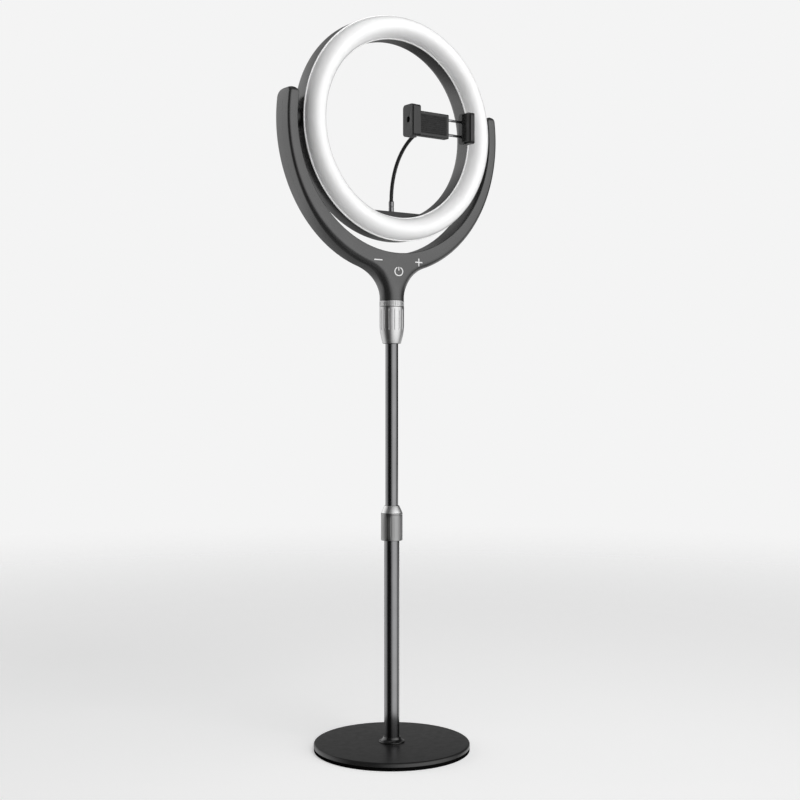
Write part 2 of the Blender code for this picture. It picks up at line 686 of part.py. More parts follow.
def make_ring(diffuser_white, satin, black, board_white, steel, rubber, tilt_axis, pan_axis):
    middle = (RING_RADIUS + RING_HOLE_RADIUS) / 2
    half_width = (RING_RADIUS - RING_HOLE_RADIUS) / 2

    def dome(inset, steps):
        """Half an ellipse over the ring, from its outer to its inner rim."""
        points = []
        for step in range(steps + 1):
            angle = math.pi * step / steps
            radius = middle + (half_width - inset) * math.cos(angle)
            points.append((radius, RIM_Y - (DOME_HEIGHT - inset) * math.sin(angle)))
        return points

    ring_turned("ring_diffuser", dome(0, 8) + list(reversed(dome(DOME_WALL, 5))),
                diffuser_white, tilt_axis)

    rim = RIM_Y + GAP
    outer = RING_RADIUS - 0.4 * MM
    inner = RING_HOLE_RADIUS + 0.4 * MM
    outer_corner = (outer - SHELL_ROUND, SHELL_BACK_Y - SHELL_ROUND)
    inner_corner = (inner + SHELL_ROUND, SHELL_BACK_Y - SHELL_ROUND)
    core_round = SHELL_ROUND - SHELL_WALL
    section = [(outer, rim)] + arc(outer_corner, SHELL_ROUND, 0, 90, 3)
    section += arc(inner_corner, SHELL_ROUND, 90, 180, 3) + [(inner, rim)]
    section += [(inner + SHELL_WALL, rim)] + arc(inner_corner, core_round, 180, 90, 2)
    section += arc(outer_corner, core_round, 90, 0, 2) + [(outer - SHELL_WALL, rim)]
    shell = ring_turned("ring_rear_shell", section, satin, tilt_axis)
    pins = bmesh.new()
    for sign in (-1, 1):
        add_rod(pins, (sign * 126 * MM, 0, RING_Z), (sign * 132 * MM, 0, RING_Z), PIN_RADIUS + GAP)
    combine(shell, build_object("ring_pin_cutter", pins, parent=tilt_axis))

    make_led_board(board_white, tilt_axis)
    for name, sign in (("left", -1), ("right", 1)):
        make_pivot(name, sign, black, steel, rubber, tilt_axis, pan_axis)


def make_led_board(board_white, tilt_axis):
    """A ring-shaped board with a lamp raised on every other step of its middle track."""
    segments = 40
    rails = (127.2 * MM, 119 * MM, 114 * MM, 105.6 * MM)
    front = -7.6 * MM
    lamp_front = -8.6 * MM
    back = -6 * MM
    bm = bmesh.new()
    tracks = [[] for _ in range(6)]
    spots = [(rails[0], back)] + [(rail, front) for rail in rails] + [(rails[3], back)]
    for index in range(segments):
        angle = 2 * math.pi * index / segments
        for track, (radius, y) in zip(tracks, spots):
            place = (radius * math.cos(angle), y, RING_Z + radius * math.sin(angle))
            track.append(bm.verts.new(place))
    lamps = []
    for step in range(len(tracks)):
        following = tracks[(step + 1) % len(tracks)]
        for index in range(segments):
            after = (index + 1) % segments
            face = bm.faces.new((tracks[step][index], tracks[step][after],
                                 following[after], following[index]))
            if step == 2 and index % 2 == 0:
                lamps.append(face)
    raised = bmesh.ops.extrude_discrete_faces(bm, faces=lamps)["faces"]
    corners = {vert for face in raised for vert in face.verts}
    for vert in corners:
        vert.co.y = lamp_front
    build_object("led_board", bm, board_white, tilt_axis)


def make_pivot(name, sign, plastic, steel, rubber, tilt_axis, pan_axis):
    """Hub, washer, pin and nut of one tilt pivot, stacked along the X axis."""
    frame = axis_frame(Vector((0, 0, RING_Z)), (sign, 0, 0))
    hole = PIN_RADIUS + GAP
    hub = [(10.5 * MM, 134.8 * MM), (10.5 * MM, 130.6 * MM), (hole, 130.6 * MM), (hole, 134.8 * MM)]
    turned(f"pivot_hub_{name}", hub, plastic, tilt_axis, frame, 32)
    washer = [(9 * MM, 136 * MM), (9 * MM, 135.1 * MM), (hole, 135.1 * MM), (hole, 136 * MM)]
    turned(f"friction_washer_{name}", washer, rubber, pan_axis, frame, 24)
    pin = [(0, 142.2 * MM), (4.4 * MM, 142.2 * MM), (4.4 * MM, 139.6 * MM)]
    pin += [(PIN_RADIUS, 139.6 * MM), (PIN_RADIUS, 123 * MM), (0, 123 * MM)]
    turned(f"pivot_pin_{name}", pin, steel, tilt_axis, frame, 16)
    nut = [(4.6 * MM, 126.6 * MM), (4.6 * MM, 124 * MM), (hole, 124 * MM), (hole, 126.6 * MM)]
    turned(f"pivot_nut_{name}", nut, steel, tilt_axis, frame, 12)


def make_shelf(plastic, paint, tilt_axis):
    """Chord plate across the foot of the ring's hole, with the gooseneck's ferrule on it."""
    radius = RING_HOLE_RADIUS - 0.1 * MM
    chord = SHELF_TOP - RING_Z
    half_angle = math.degrees(math.acos(-chord / radius))
    outline = arc((0, RING_Z), radius, -90 - half_angle, -90 + half_angle, 20)
    shelf = extruded("holder_shelf", outline, -9 * MM, 8 * MM, "XZ", plastic, tilt_axis)
    bore = bmesh.new()
    x, y = NECK_START.x, NECK_START.y
    add_rod(bore, (x, y, 621 * MM), (x, y, 630 * MM), 1.7 * MM + GAP, 12)
    combine(shelf, build_object("shelf_bore_cutter", bore, parent=tilt_axis))
    frame = Matrix.Translation((x, y, 0))
    top = NECK_START.z - GAP
    ferrule = [(0, top), (2.9 * MM, top), (3.1 * MM, top - 0.6 * MM)]
    ferrule += [(3.1 * MM, SHELF_TOP + GAP), (1.7 * MM, SHELF_TOP + GAP)]
    ferrule += [(1.7 * MM, 621.4 * MM), (0, 621.4 * MM)]
    turned("neck_ferrule", ferrule, paint, tilt_axis, frame, 20)


# ---------------------------------------------------------------- gooseneck

def neck_point(angle):
    """The gooseneck's centre line: up from the shelf, then forward into the ball."""
    reach = BALL_CENTRE - NECK_START
    forward = 1.7 * (1 - math.cos(angle)) - 0.7 * math.sin(angle) ** 2
    share = Vector((math.sin(angle) ** 2, forward, math.sin(angle)))
    return NECK_START + Vector((reach.x * share.x, reach.y * share.y, reach.z * share.z))


def neck_length_to(angle, target):
    """The angle at which the centre line is a target distance from the point at angle."""
    start = neck_point(angle)
    step = math.copysign(math.radians(0.1), target)
    probe = angle
    while (neck_point(probe) - start).length < abs(target):
        probe += step
    return probe


def make_neck_segment(name, start, end, material, parent, knuckle):
    """A stretch of gooseneck between two bends, ending in a ball if it has a knuckle."""
    clear = 2.5 * MM
    first = neck_length_to(start, clear) if start > 0 else start
    last = neck_length_to(end, -clear)
    steps = max(int(math.degrees(last - first) / 5), 3)
    centres = [neck_point(first + (last - first) * step / steps) for step in range(steps + 1)]
    radii = [NECK_TUBE_RADIUS] * len(centres)
    if knuckle:
        joint = neck_point(end)
        along = (joint - centres[-1]).normalized()
        ball = 1.9 * MM
        radii.append(0.9 * MM)
        centres.append(centres[-1] + along * 0.05 * MM)
        for turn in (155, 125, 90, 55, 25):
            angle = math.radians(turn)
            centres.append(joint + along * ball * math.cos(angle))
            radii.append(ball * math.sin(angle))
    bm = bmesh.new()
    add_swept(bm, centres, radii)
    return build_object(name, bm, material, parent)


def make_gooseneck(flex, steel, tilt_axis, low_bend, high_bend):
    make_neck_segment("gooseneck_lower", 0.0, LOW_BEND, flex, tilt_axis, True)
    make_neck_segment("gooseneck_middle", LOW_BEND, HIGH_BEND, flex, low_bend, True)
    make_neck_segment("gooseneck_upper", HIGH_BEND, neck_length_to(math.pi / 2, -9.5 * MM), flex,
                      high_bend, False)

    frame = axis_frame(BALL_CENTRE, -TOWARDS_FRONT)
    stem = 2 * MM
    root = math.degrees(math.asin(stem / BALL_RADIUS))
    stud = [(r, h) for h, r in arc((0, 0), BALL_RADIUS, root, 180, 6)]
    stud = [(0, 11.5 * MM), (stem, 11.5 * MM)] + stud
    stud[-1] = (0, -BALL_RADIUS)
    turned("ball_stud", stud, steel, high_bend, frame, 16)


# ---------------------------------------------------------------- phone clamp

def make_ball_socket(plastic, tilt):
    """Cup and lock nut that hold the ball, on one axis towards the front."""
    frame = axis_frame(BALL_CENTRE, TOWARDS_FRONT)
    cavity = BALL_RADIUS + GAP
    cup_front = 7.2 * MM
    cup = [(r, h) for h, r in arc((0, 0), cavity, 0, 90, 4)]
    cup[0] = (0, cavity)
    cup += [(cavity, -2.9 * MM), (8 * MM, -2.9 * MM), (8 * MM, cup_front), (3.5 * MM, cup_front)]
    cup += [(3.5 * MM, 13 * MM), (1.5 * MM, 13 * MM), (1.5 * MM, 8 * MM), (0, 8 * MM)]
    turned("ball_cup", cup, plastic, tilt, frame, 20)
    nut = [(8.3 * MM, 3.5 * MM), (8.3 * MM, -3.2 * MM), (4.4 * MM, -3.8 * MM)]
    nut += [(4.4 * MM, -5 * MM), (8.6 * MM, -5.2 * MM), (9.8 * MM, -4 * MM), (9.8 * MM, 3.5 * MM)]
    turned("ball_lock_nut", nut, plastic, tilt, frame, 24)


def jaw_outline(side, outer_x, wall, lip, flange):
    """Plan of a jaw: outer wall with a front lip and a rear flange. Side +1 faces -X."""
    back = JAW_BACK_Y
    front = JAW_FRONT_Y
    corner = 2.6 * MM
    centre = (outer_x - side * corner, front + corner)
    start = -90 if side > 0 else 270
    points = [(outer_x, back)]
    nose = arc(centre, corner, 0 if side > 0 else 180, start, 5)
    points += nose
    points += [(outer_x - side * lip, front), (outer_x - side * lip, front + 1.8 * MM)]
    points += [(outer_x - side * wall, front + 1.8 * MM)]
    points += [(outer_x - side * wall, PHONE_BACK_Y + GAP)]
    points += [(outer_x - side * flange, PHONE_BACK_Y + GAP), (outer_x - side * flange, back)]
    return points


def jaw_side_guide(name, parent):
    """The jaws' outline seen from the side, with rounded corners, right across the clamp."""
    back = JAW_BACK_Y
    corner = 4 * MM
    outline = []
    for y, z, start in ((back - corner, JAW_HIGH_Z - corner, 90),
                        (JAW_FRONT_Y + corner, JAW_HIGH_Z - corner, 180),
                        (JAW_FRONT_Y + corner, JAW_LOW_Z + corner, 270),
                        (back - corner, JAW_LOW_Z + corner, 360)):
        outline += arc((y, z), corner, start - 90, start, 5)
    bm = bmesh.new()
    add_extruded(bm, outline, LEFT_JAW_X - 5 * MM, RIGHT_JAW_X + 5 * MM, "YZ")
    return build_object(name, bm, parent=parent)


def make_clamp_body(plastic, rubber, steel, spin):
    wall = 5 * MM
    bm = bmesh.new()
    outline = jaw_outline(-1, LEFT_JAW_X, wall, 10.4 * MM, 12 * MM)
    add_extruded(bm, outline, JAW_LOW_Z, JAW_HIGH_Z, "XY")
    body = build_object("clamp_body", bm, plastic, spin)
    combine(body, jaw_side_guide("clamp_side_guide", spin), "INTERSECT")

    block = bmesh.new()
    half_height = 14 * MM
    centre = BALL_CENTRE
    add_box(block, (LEFT_JAW_X + 6.3 * MM, PHONE_BACK_Y + 0.6 * MM, centre.z - half_height),
            (BODY_RIGHT_X, JAW_BACK_Y - 0.2 * MM, centre.z + half_height))
    block_guide = build_object("clamp_block_guide", block, parent=spin)
    round_edges(block_guide, 1.2 * MM)
    combine(body, block_guide, "UNION")

    bores = bmesh.new()
    for sign in (-1, 1):
        along_rod = axis_frame(Vector((0, ROD_Y, centre.z + sign * ROD_OFFSET_Z)), (1, 0, 0))
        add_stepped(bores, along_rod, (-10 * MM, 36.5 * MM, 45 * MM), (3.1 * MM, ROD_RADIUS + GAP))
    add_stepped(bores, axis_frame(centre, TOWARDS_FRONT), (4 * MM, 13.5 * MM, 14.7 * MM, 20 * MM),
                (3.8 * MM, 1.5 * MM, 3.5 * MM))
    recess = axis_frame(Vector((0, PHONE_BACK_Y, 723 * MM)), (-1, 0, 0))
    add_stepped(bores, recess, (14.6 * MM, 17 * MM, 20 * MM), (1.5 * MM, 3.4 * MM))
    combine(body, build_object("clamp_bore_cutter", bores, parent=spin))

    pad_outline = [(-8 * MM, -58.5 * MM), (36 * MM, -58.5 * MM), (36 * MM, -57.8 * MM)]
    pad_outline += [(-8 * MM, -57.8 * MM)]
    extruded("clamp_back_pad", pad_outline, 711 * MM, 732 * MM, "XY", rubber, spin)
    left_pad = [(-13.7 * MM, -66 * MM), (LEFT_PAD_X, -66 * MM), (LEFT_PAD_X, PHONE_BACK_Y)]
    left_pad += [(-13.7 * MM, PHONE_BACK_Y)]
    extruded("jaw_pad_left", left_pad, 706 * MM, 738 * MM, "XY", rubber, spin)

    spin_screw = [(0, 16.6 * MM), (3.2 * MM, 16.6 * MM), (3.2 * MM, 15 * MM), (1.2 * MM, 15 * MM)]
    spin_screw += [(1.2 * MM, 9 * MM), (0, 9 * MM)]
    turned("clamp_spin_screw", spin_screw, steel, spin, axis_frame(centre, TOWARDS_FRONT), 16)
    jaw_screw = [(0, 2.3 * MM), (2.8 * MM, 2.3 * MM), (2.8 * MM, 1 * MM), (1.2 * MM, 1 * MM)]
    jaw_screw += [(1.2 * MM, -1.5 * MM), (0, -1.5 * MM)]
    screw_frame = axis_frame(Vector((-16.3 * MM, PHONE_BACK_Y, 723 * MM)), (-1, 0, 0))
    turned("jaw_screw", jaw_screw, steel, spin, screw_frame, 16)


def make_sliding_jaw(plastic, rubber, steel, spring_steel, slide):
    bm = bmesh.new()
    outline = jaw_outline(1, RIGHT_JAW_X, 6.8 * MM, 6.9 * MM, 9 * MM)
    add_extruded(bm, outline, JAW_LOW_Z, JAW_HIGH_Z, "XY")
    jaw = build_object("clamp_jaw_right", bm, plastic, slide)
    combine(jaw, jaw_side_guide("jaw_side_guide", slide), "INTERSECT")
    bores = bmesh.new()
    for sign in (-1, 1):
        z = BALL_CENTRE.z + sign * ROD_OFFSET_Z
        add_rod(bores, (55 * MM, ROD_Y, z), (67 * MM, ROD_Y, z), ROD_RADIUS + GAP)
    combine(jaw, build_object("jaw_bore_cutter", bores, parent=slide))

    ribs = 5
    pitch = 8.4 * MM / ribs
    wall_x = RIGHT_JAW_X - 6.8 * MM - GAP
    pad = [(wall_x, PHONE_BACK_Y), (wall_x, -66.4 * MM)]
    for rib in range(ribs):
        start = -66.4 * MM + pitch * rib
        pad += [(RIGHT_PAD_X, start), (RIGHT_PAD_X, start + pitch * 0.6)]
        if rib < ribs - 1:
            pad += [(RIGHT_PAD_X + 1 * MM, start + pitch * 0.7)]
    pad += [(RIGHT_PAD_X, PHONE_BACK_Y)]
    extruded("jaw_pad_right", pad, 706 * MM, 738 * MM, "XY", rubber, slide)

    for name, sign in (("lower", -1), ("upper", 1)):
        centre = Vector((0, ROD_Y, BALL_CENTRE.z + sign * ROD_OFFSET_Z))
        frame = axis_frame(centre, (1, 0, 0))
        guide = [(0, 66.6 * MM), (ROD_RADIUS, 66.6 * MM), (ROD_RADIUS, 9.5 * MM), (2.7 * MM, 9.5 * MM)]
        guide += [(2.7 * MM, 8 * MM), (0, 8 * MM)]
        turned(f"guide_rod_{name}", guide, steel, slide, frame, 16)
        make_spring(f"jaw_spring_{name}", centre, spring_steel, slide)


def make_spring(name, centre, material, parent):
    """Compression spring round a guide rod, between the rod's collar and the bore's shoulder."""
    wire = 0.32 * MM
    coil = 2.3 * MM
    turns = 6
    per_turn = 8
    start = 10.2 * MM
    end = 35.8 * MM
    centres = []
    for step in range(turns * per_turn + 1):
        angle = 2 * math.pi * step / per_turn
        x = start + (end - start) * step / (turns * per_turn)
        centres.append(centre + Vector((x, coil * math.cos(angle), coil * math.sin(angle))))
    bm = bmesh.new()
    add_swept(bm, centres, [wire] * len(centres), 4)
    build_object(name, bm, material, parent)


# ---------------------------------------------------------------- assembly

def main():
    clear_scene()
    satin = make_material("satin_plastic", (0.13, 0.13, 0.13), 0.42)
    black = make_material("black_plastic", (0.02, 0.02, 0.02), 0.4)
    gloss = make_material("gloss_black", (0.015, 0.015, 0.015), 0.15)
    base_paint = make_material("base_paint", (0.05, 0.05, 0.052), 0.4)
    tube_paint = make_material("tube_paint", (0.09, 0.09, 0.095), 0.22, 0.6)
    silver = make_material("satin_silver", (0.75, 0.75, 0.75), 0.25, 1.0)
    steel = make_material("steel", (0.55, 0.55, 0.56), 0.35, 1.0)
    brass = make_material("brass", (0.6, 0.45, 0.18), 0.35, 1.0)
    iron = make_material("cast_iron", (0.12, 0.12, 0.12), 0.6, 1.0)
    foam = make_material("foot_rubber", (0.02, 0.02, 0.02), 0.85)
    rubber = make_material("black_rubber", (0.018, 0.018, 0.018), 0.75)
    flex = make_material("gooseneck_skin", (0.02, 0.02, 0.02), 0.45)
    diffuser_white = make_material("diffuser_white", (0.9, 0.9, 0.9), 0.35)
    silk = make_material("key_print", (0.8, 0.8, 0.8), 0.5)
    board_green = make_material("circuit_board", (0.03, 0.12, 0.05), 0.5)
    board_white = make_material("lamp_board", (0.85, 0.85, 0.8), 0.5)

    mast = make_empty("mast_slide_axis", (0, 0, LOWER_TUBE_TOP))
    collar_axis = make_empty("collar_axis", (0, 0, COLLAR_BOTTOM))
    neck_axis = make_empty("neck_nut_axis", (0, 0, NECK_BOTTOM), mast)
    pan_axis = make_empty("pan_axis", (0, 0, NECK_TOP), mast)
    tilt_axis = make_empty("tilt_axis", (0, 0, RING_Z), pan_axis)
    low_bend = make_empty("low_bend_axis", neck_point(LOW_BEND), tilt_axis)
    high_bend = make_empty("high_bend_axis", neck_point(HIGH_BEND), low_bend)
    ball_axis = make_empty("ball_axis", BALL_CENTRE, high_bend)
    spin_axis = make_empty("clamp_spin_axis", BALL_CENTRE, ball_axis)
    jaw_slide = make_empty("jaw_slide_axis", (RIGHT_PAD_X, ROD_Y, BALL_CENTRE.z), spin_axis)

    make_base(base_paint, iron, foam, steel, gloss)
    make_mast(tube_paint, silver, black, brass, mast, collar_axis)
    make_neck(silver, black, brass, steel, mast, neck_axis, pan_axis)
    make_yoke(satin, silk, board_green, steel, pan_axis)
    make_ring(diffuser_white, satin, black, board_white, steel, rubber, tilt_axis, pan_axis)
    make_shelf(black, tube_paint, tilt_axis)
    make_gooseneck(flex, steel, tilt_axis, low_bend, high_bend)
    make_ball_socket(black, ball_axis)
    make_clamp_body(satin, rubber, steel, spin_axis)
    make_sliding_jaw(satin, rubber, steel, steel, jaw_slide)


main()
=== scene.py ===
"""Looks of the ring light: fine meshes, materials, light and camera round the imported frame.

Metres, +Z up, and the light faces -Y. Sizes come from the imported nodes' boxes and joints,
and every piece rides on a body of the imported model.
"""

import json
import math

import bmesh
import bpy
from mathutils import Matrix, Vector
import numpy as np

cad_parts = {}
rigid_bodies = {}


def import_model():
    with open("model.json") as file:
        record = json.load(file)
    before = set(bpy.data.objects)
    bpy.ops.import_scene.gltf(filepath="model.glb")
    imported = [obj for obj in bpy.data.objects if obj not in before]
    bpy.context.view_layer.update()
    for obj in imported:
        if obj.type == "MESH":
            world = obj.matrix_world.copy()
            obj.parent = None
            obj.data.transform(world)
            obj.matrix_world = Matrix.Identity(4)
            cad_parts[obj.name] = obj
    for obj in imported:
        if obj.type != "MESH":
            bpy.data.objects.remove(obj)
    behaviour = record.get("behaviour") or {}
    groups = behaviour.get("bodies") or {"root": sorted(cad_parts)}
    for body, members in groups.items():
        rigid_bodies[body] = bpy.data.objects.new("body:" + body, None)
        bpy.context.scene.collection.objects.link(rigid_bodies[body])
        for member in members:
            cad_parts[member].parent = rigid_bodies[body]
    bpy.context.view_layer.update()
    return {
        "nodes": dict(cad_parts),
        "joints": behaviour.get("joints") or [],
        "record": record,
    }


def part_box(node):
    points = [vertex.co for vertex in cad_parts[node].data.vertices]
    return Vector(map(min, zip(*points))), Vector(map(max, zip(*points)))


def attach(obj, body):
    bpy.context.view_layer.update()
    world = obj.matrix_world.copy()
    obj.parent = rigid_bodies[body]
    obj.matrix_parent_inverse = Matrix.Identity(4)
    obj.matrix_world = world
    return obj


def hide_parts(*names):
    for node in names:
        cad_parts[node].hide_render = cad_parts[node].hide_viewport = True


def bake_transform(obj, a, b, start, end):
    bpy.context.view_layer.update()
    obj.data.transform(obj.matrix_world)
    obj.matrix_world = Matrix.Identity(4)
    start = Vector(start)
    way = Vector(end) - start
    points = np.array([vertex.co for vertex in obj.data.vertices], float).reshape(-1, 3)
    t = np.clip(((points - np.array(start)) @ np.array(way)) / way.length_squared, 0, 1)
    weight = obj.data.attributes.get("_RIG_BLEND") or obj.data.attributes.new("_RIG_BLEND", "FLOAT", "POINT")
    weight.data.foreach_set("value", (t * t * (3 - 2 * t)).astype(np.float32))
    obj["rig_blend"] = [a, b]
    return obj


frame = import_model()
RECORD = frame["record"]
SLOTS = {part["node"]: part["material_slot"] for part in RECORD["subparts"]}
BODIES = {node: body for body, nodes in RECORD["behaviour"]["bodies"].items() for node in nodes}
JOINTS = {joint["name"]: Vector(joint["pos_m"]) for joint in frame["joints"] if "pos_m" in joint}

MM = 0.001
GAP = 0.3 * MM
Y, Z = 1, 2
TOWARDS_FRONT = Vector((0, -1, 0))
MATERIALS = {}


def low(node):
    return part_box(node)[0]


def high(node):
    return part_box(node)[1]


def middle(node, axis):
    return (low(node)[axis] + high(node)[axis]) / 2


def mm(*points):
    """Points given in millimetres."""
    return [tuple(number * MM for number in point) for point in points]


# ---------------------------------------------------------------- driving sizes, from the frame

RING_Z = JOINTS["ring_tilt"].z
RING_RADIUS = high("ring_diffuser").x
RIM_Y = high("ring_diffuser").y
YOKE_FRONT_Y = low("yoke_front_shell").y
YOKE_HALF_DEPTH = -YOKE_FRONT_Y
YOKE_TIP_ROUND = 9 * MM
YOKE_TIP_Z = high("yoke_front_shell").z + 1.2 * MM
YOKE_OUTER = (high("yoke_front_shell").x, 165.5 * MM)
YOKE_INNER = (136.6 * MM, 143.4 * MM)
YOKE_NECK_RADIUS = high("neck_ring").x - 0.25 * MM
YOKE_WALL = 2.4 * MM
YOKE_EDGE = 1.2 * MM
# front (-1) and rear (1) shell: corner radius at the arm's top and foot, and the tip's rounding in depth
YOKE_CORNERS = {-1: (3.8 * MM, 8 * MM), 1: (1.4 * MM, 3 * MM)}
YOKE_TIP_DEPTHS = {-1: (7 * MM, 6 * MM), 1: (12 * MM, 9 * MM)}
FILLET_START = math.radians(74)
NECK_START = Vector((0, low("neck_ferrule").y + 3.6 * MM, high("neck_ferrule").z + GAP))
BALL_CENTRE = JOINTS["ball_tilt"]
PHONE_REST_Y = low("clamp_back_pad").y + 0.5 * MM
ROD_Y = middle("guide_rod_lower", Y)


# ---------------------------------------------------------------- mesh tools

def arc(centre, radius, start_degrees, end_degrees, steps):
    """Points on a circle, from one angle to another."""
    points = []
    for step in range(steps + 1):
        angle = math.radians(start_degrees + (end_degrees - start_degrees) * step / steps)
        points.append((centre[0] + radius * math.cos(angle), centre[1] + radius * math.sin(angle)))
    return points


def rounded(outline, radius, steps=4):
    """A closed outline with its corners rounded. A corner may carry its own radius as a third number."""
    result = []
    for index, corner in enumerate(outline):
        here = Vector(corner[:2])
        before = Vector(outline[index - 1][:2]) - here
        after = Vector(outline[(index + 1) % len(outline)][:2]) - here
        wanted = corner[2] if len(corner) > 2 else radius
        opening = before.angle(after)
        if wanted <= 0 or opening > math.radians(174):
            result.append(tuple(here))
            continue
        reach = min(wanted / math.tan(opening / 2), 0.48 * min(before.length, after.length))
        size = reach * math.tan(opening / 2)
        bisector = (before.normalized() + after.normalized()).normalized()
        centre = here + bisector * size / math.sin(opening / 2)
        first = here + before.normalized() * reach - centre
        last = here + after.normalized() * reach - centre
        start = math.atan2(first.y, first.x)
        sweep = (math.atan2(last.y, last.x) - start + math.pi) % (2 * math.pi) - math.pi
        result += arc(centre, size, math.degrees(start), math.degrees(start + sweep), steps)
    return result


def bridge_loops(bm, first, second):
    """Quads between two loops of equal length, or a fan where one loop is a single pole."""
    count = max(len(first), len(second))
    for index in range(count):
        after = (index + 1) % count
        corners = [first[index % len(first)], first[after % len(first)]]
        corners += [second[after % len(second)], second[index % len(second)]]
        distinct = list(dict.fromkeys(corners))
        if len(distinct) > 2:
            bm.faces.new(distinct)


def add_turned(bm, profile, place=Matrix.Identity(4), segments=96, pull=None):
    """Spin a closed (radius, height) section. pull(angle, radius, height) draws the surface in."""
    loops = []
    for radius, height in profile:
        if radius < 1e-7:
            loops.append([bm.verts.new(place @ Vector((0, 0, height)))])
            continue
        loop = []
        for index in range(segments):
            angle = 2 * math.pi * index / segments
            reach = radius - (pull(angle, radius, height) if pull else 0)
            spot = Vector((reach * math.cos(angle), reach * math.sin(angle), height))
            loop.append(bm.verts.new(place @ spot))
        loops.append(loop)
    for index, loop in enumerate(loops):
        following = loops[(index + 1) % len(loops)]
        if len(loop) + len(following) > 2:
            bridge_loops(bm, loop, following)
    return bm


def add_extruded(bm, outline, near, far, plane="XZ"):
    """Extrude a closed outline, drawn in the named plane, along the third axis."""
    def loop(depth):
        spots = {"XY": lambda a, b: (a, b, depth), "XZ": lambda a, b: (a, depth, b),
                 "YZ": lambda a, b: (depth, a, b)}
        return [bm.verts.new(spots[plane](*point)) for point in outline]

    first = loop(near)
    second = loop(far)
    bm.faces.new(first)
    bm.faces.new(list(reversed(second)))
    bridge_loops(bm, first, second)
    return bm


def new_box(lowest, highest):
    outline = [(lowest[0], lowest[1]), (highest[0], lowest[1])]
    outline += [(highest[0], highest[1]), (lowest[0], highest[1])]
    return add_extruded(bmesh.new(), outline, lowest[2], highest[2], "XY")


def cell_lines(start, end, count, before, after):
    """Lines across a plate: its two edges, and both sides of each of a row of cells."""
    pitch = (end - start) / count
    sides = [start + pitch * (cell + share) for cell in range(count) for share in (before, after)]
    return [start] + sides + [end]


def new_relief(across, up, levels, place):
    """A plate with the cells in odd places of a grid raised, as one closed shell.

    The levels are those of the raised cells, of the plate's face and of its back, and place turns
    (level, across, up) into a point.
    """
    bm = bmesh.new()
    crown, face, back = levels
    corners = {}

    def quad(*spots):
        for i, j, level in spots:
            if (i, j, level) not in corners:
                corners[(i, j, level)] = bm.verts.new(place(level, across[i], up[j]))
        bm.faces.new([corners[spot] for spot in spots])

    def level_at(i, j):
        if not (0 <= i < len(across) - 1 and 0 <= j < len(up) - 1):
            return back
        return crown if i % 2 and j % 2 else face

    for i in range(len(across)):
        for j in range(len(up)):
            here = level_at(i, j)
            before, below = level_at(i - 1, j), level_at(i, j - 1)
            if here != back:
                for level in (here, back):
                    quad((i, j, level), (i, j + 1, level), (i + 1, j + 1, level), (i + 1, j, level))
            if before != here:
                quad((i, j, before), (i, j + 1, before), (i, j + 1, here), (i, j, here))
            if below != here:
                quad((i, j, below), (i + 1, j, below), (i + 1, j, here), (i, j, here))
    bmesh.ops.recalc_face_normals(bm, faces=bm.faces)
    return bm


def axis_frame(centre, direction):
    """A frame at a centre whose Z axis points along a direction."""
    turn = Vector((0, 0, 1)).rotation_difference(Vector(direction)).to_matrix().to_4x4()
    return Matrix.Translation(centre) @ turn


PIVOT_FRAMES = {side: axis_frame((0, 0, RING_Z), (side, 0, 0)) for side in (-1, 1)}
ROD_FRAMES = {name: axis_frame((0, ROD_Y, middle(f"guide_rod_{name}", Z)), (1, 0, 0))
              for name in ("lower", "upper")}


def add_stepped(bm, place, heights, radii, sides=32):
    """A stepped shaft on a frame's Z axis, in millimetres: a radius between each height and the next."""
    profile = [(0, heights[0])]
    for bottom, top, radius in zip(heights, heights[1:], radii):
        profile += [(radius, bottom), (radius, top)]
    profile.append((0, heights[-1]))
    return add_turned(bm, mm(*profile), place, sides)


def new_swept(centres, radius_at, sides):
    """A tube along a line of centres. radius_at(index, angle) gives its radius there."""
    bm = bmesh.new()
    loops = []
    side = Vector((0, 1, 0))
    for index, centre in enumerate(centres):
        before = centres[max(index - 1, 0)]
        after = centres[min(index + 1, len(centres) - 1)]
        along = (after - before).normalized()
        side = (side - along * side.dot(along)).normalized()
        other = along.cross(side)
        loop = []
        for corner in range(sides):
            angle = 2 * math.pi * corner / sides
            spoke = side * math.cos(angle) + other * math.sin(angle)
            loop.append(bm.verts.new(centre + spoke * radius_at(index, angle)))
        loops.append(loop)
    for first, second in zip(loops, loops[1:]):
        bridge_loops(bm, first, second)
    bm.faces.new(loops[0])
    bm.faces.new(list(reversed(loops[-1])))
    return bm


def add_object(name, data):
    obj = bpy.data.objects.new(name, data)
    bpy.context.scene.collection.objects.link(obj)
    return obj


def shade(mesh, sharp_degrees=35):
    mesh.shade_smooth()
    mesh.set_sharp_from_angle(angle=math.radians(sharp_degrees))


def make_mesh(name, bm, sharp_degrees=35):
    bmesh.ops.recalc_face_normals(bm, faces=bm.faces)
    if bm.calc_volume(signed=True) < 0:
        bmesh.ops.reverse_faces(bm, faces=bm.faces)
    mesh = bpy.data.meshes.new(name)
    bm.to_mesh(mesh)
    bm.free()
    shade(mesh, sharp_degrees)
    return add_object(name, mesh)


def take_mesh(obj):
    """An object's mesh, open for more work, while the object itself goes."""
    bm = bmesh.new()
    bm.from_mesh(obj.data)
    bpy.data.objects.remove(obj)
    return bm


def settle(obj):
    """Applies the modifiers of an object, so that its own mesh is the final one."""
    depsgraph = bpy.context.evaluated_depsgraph_get()
    mesh = bpy.data.meshes.new_from_object(obj.evaluated_get(depsgraph))
    obj.modifiers.clear()
    obj.data = mesh
    shade(mesh)
    return obj


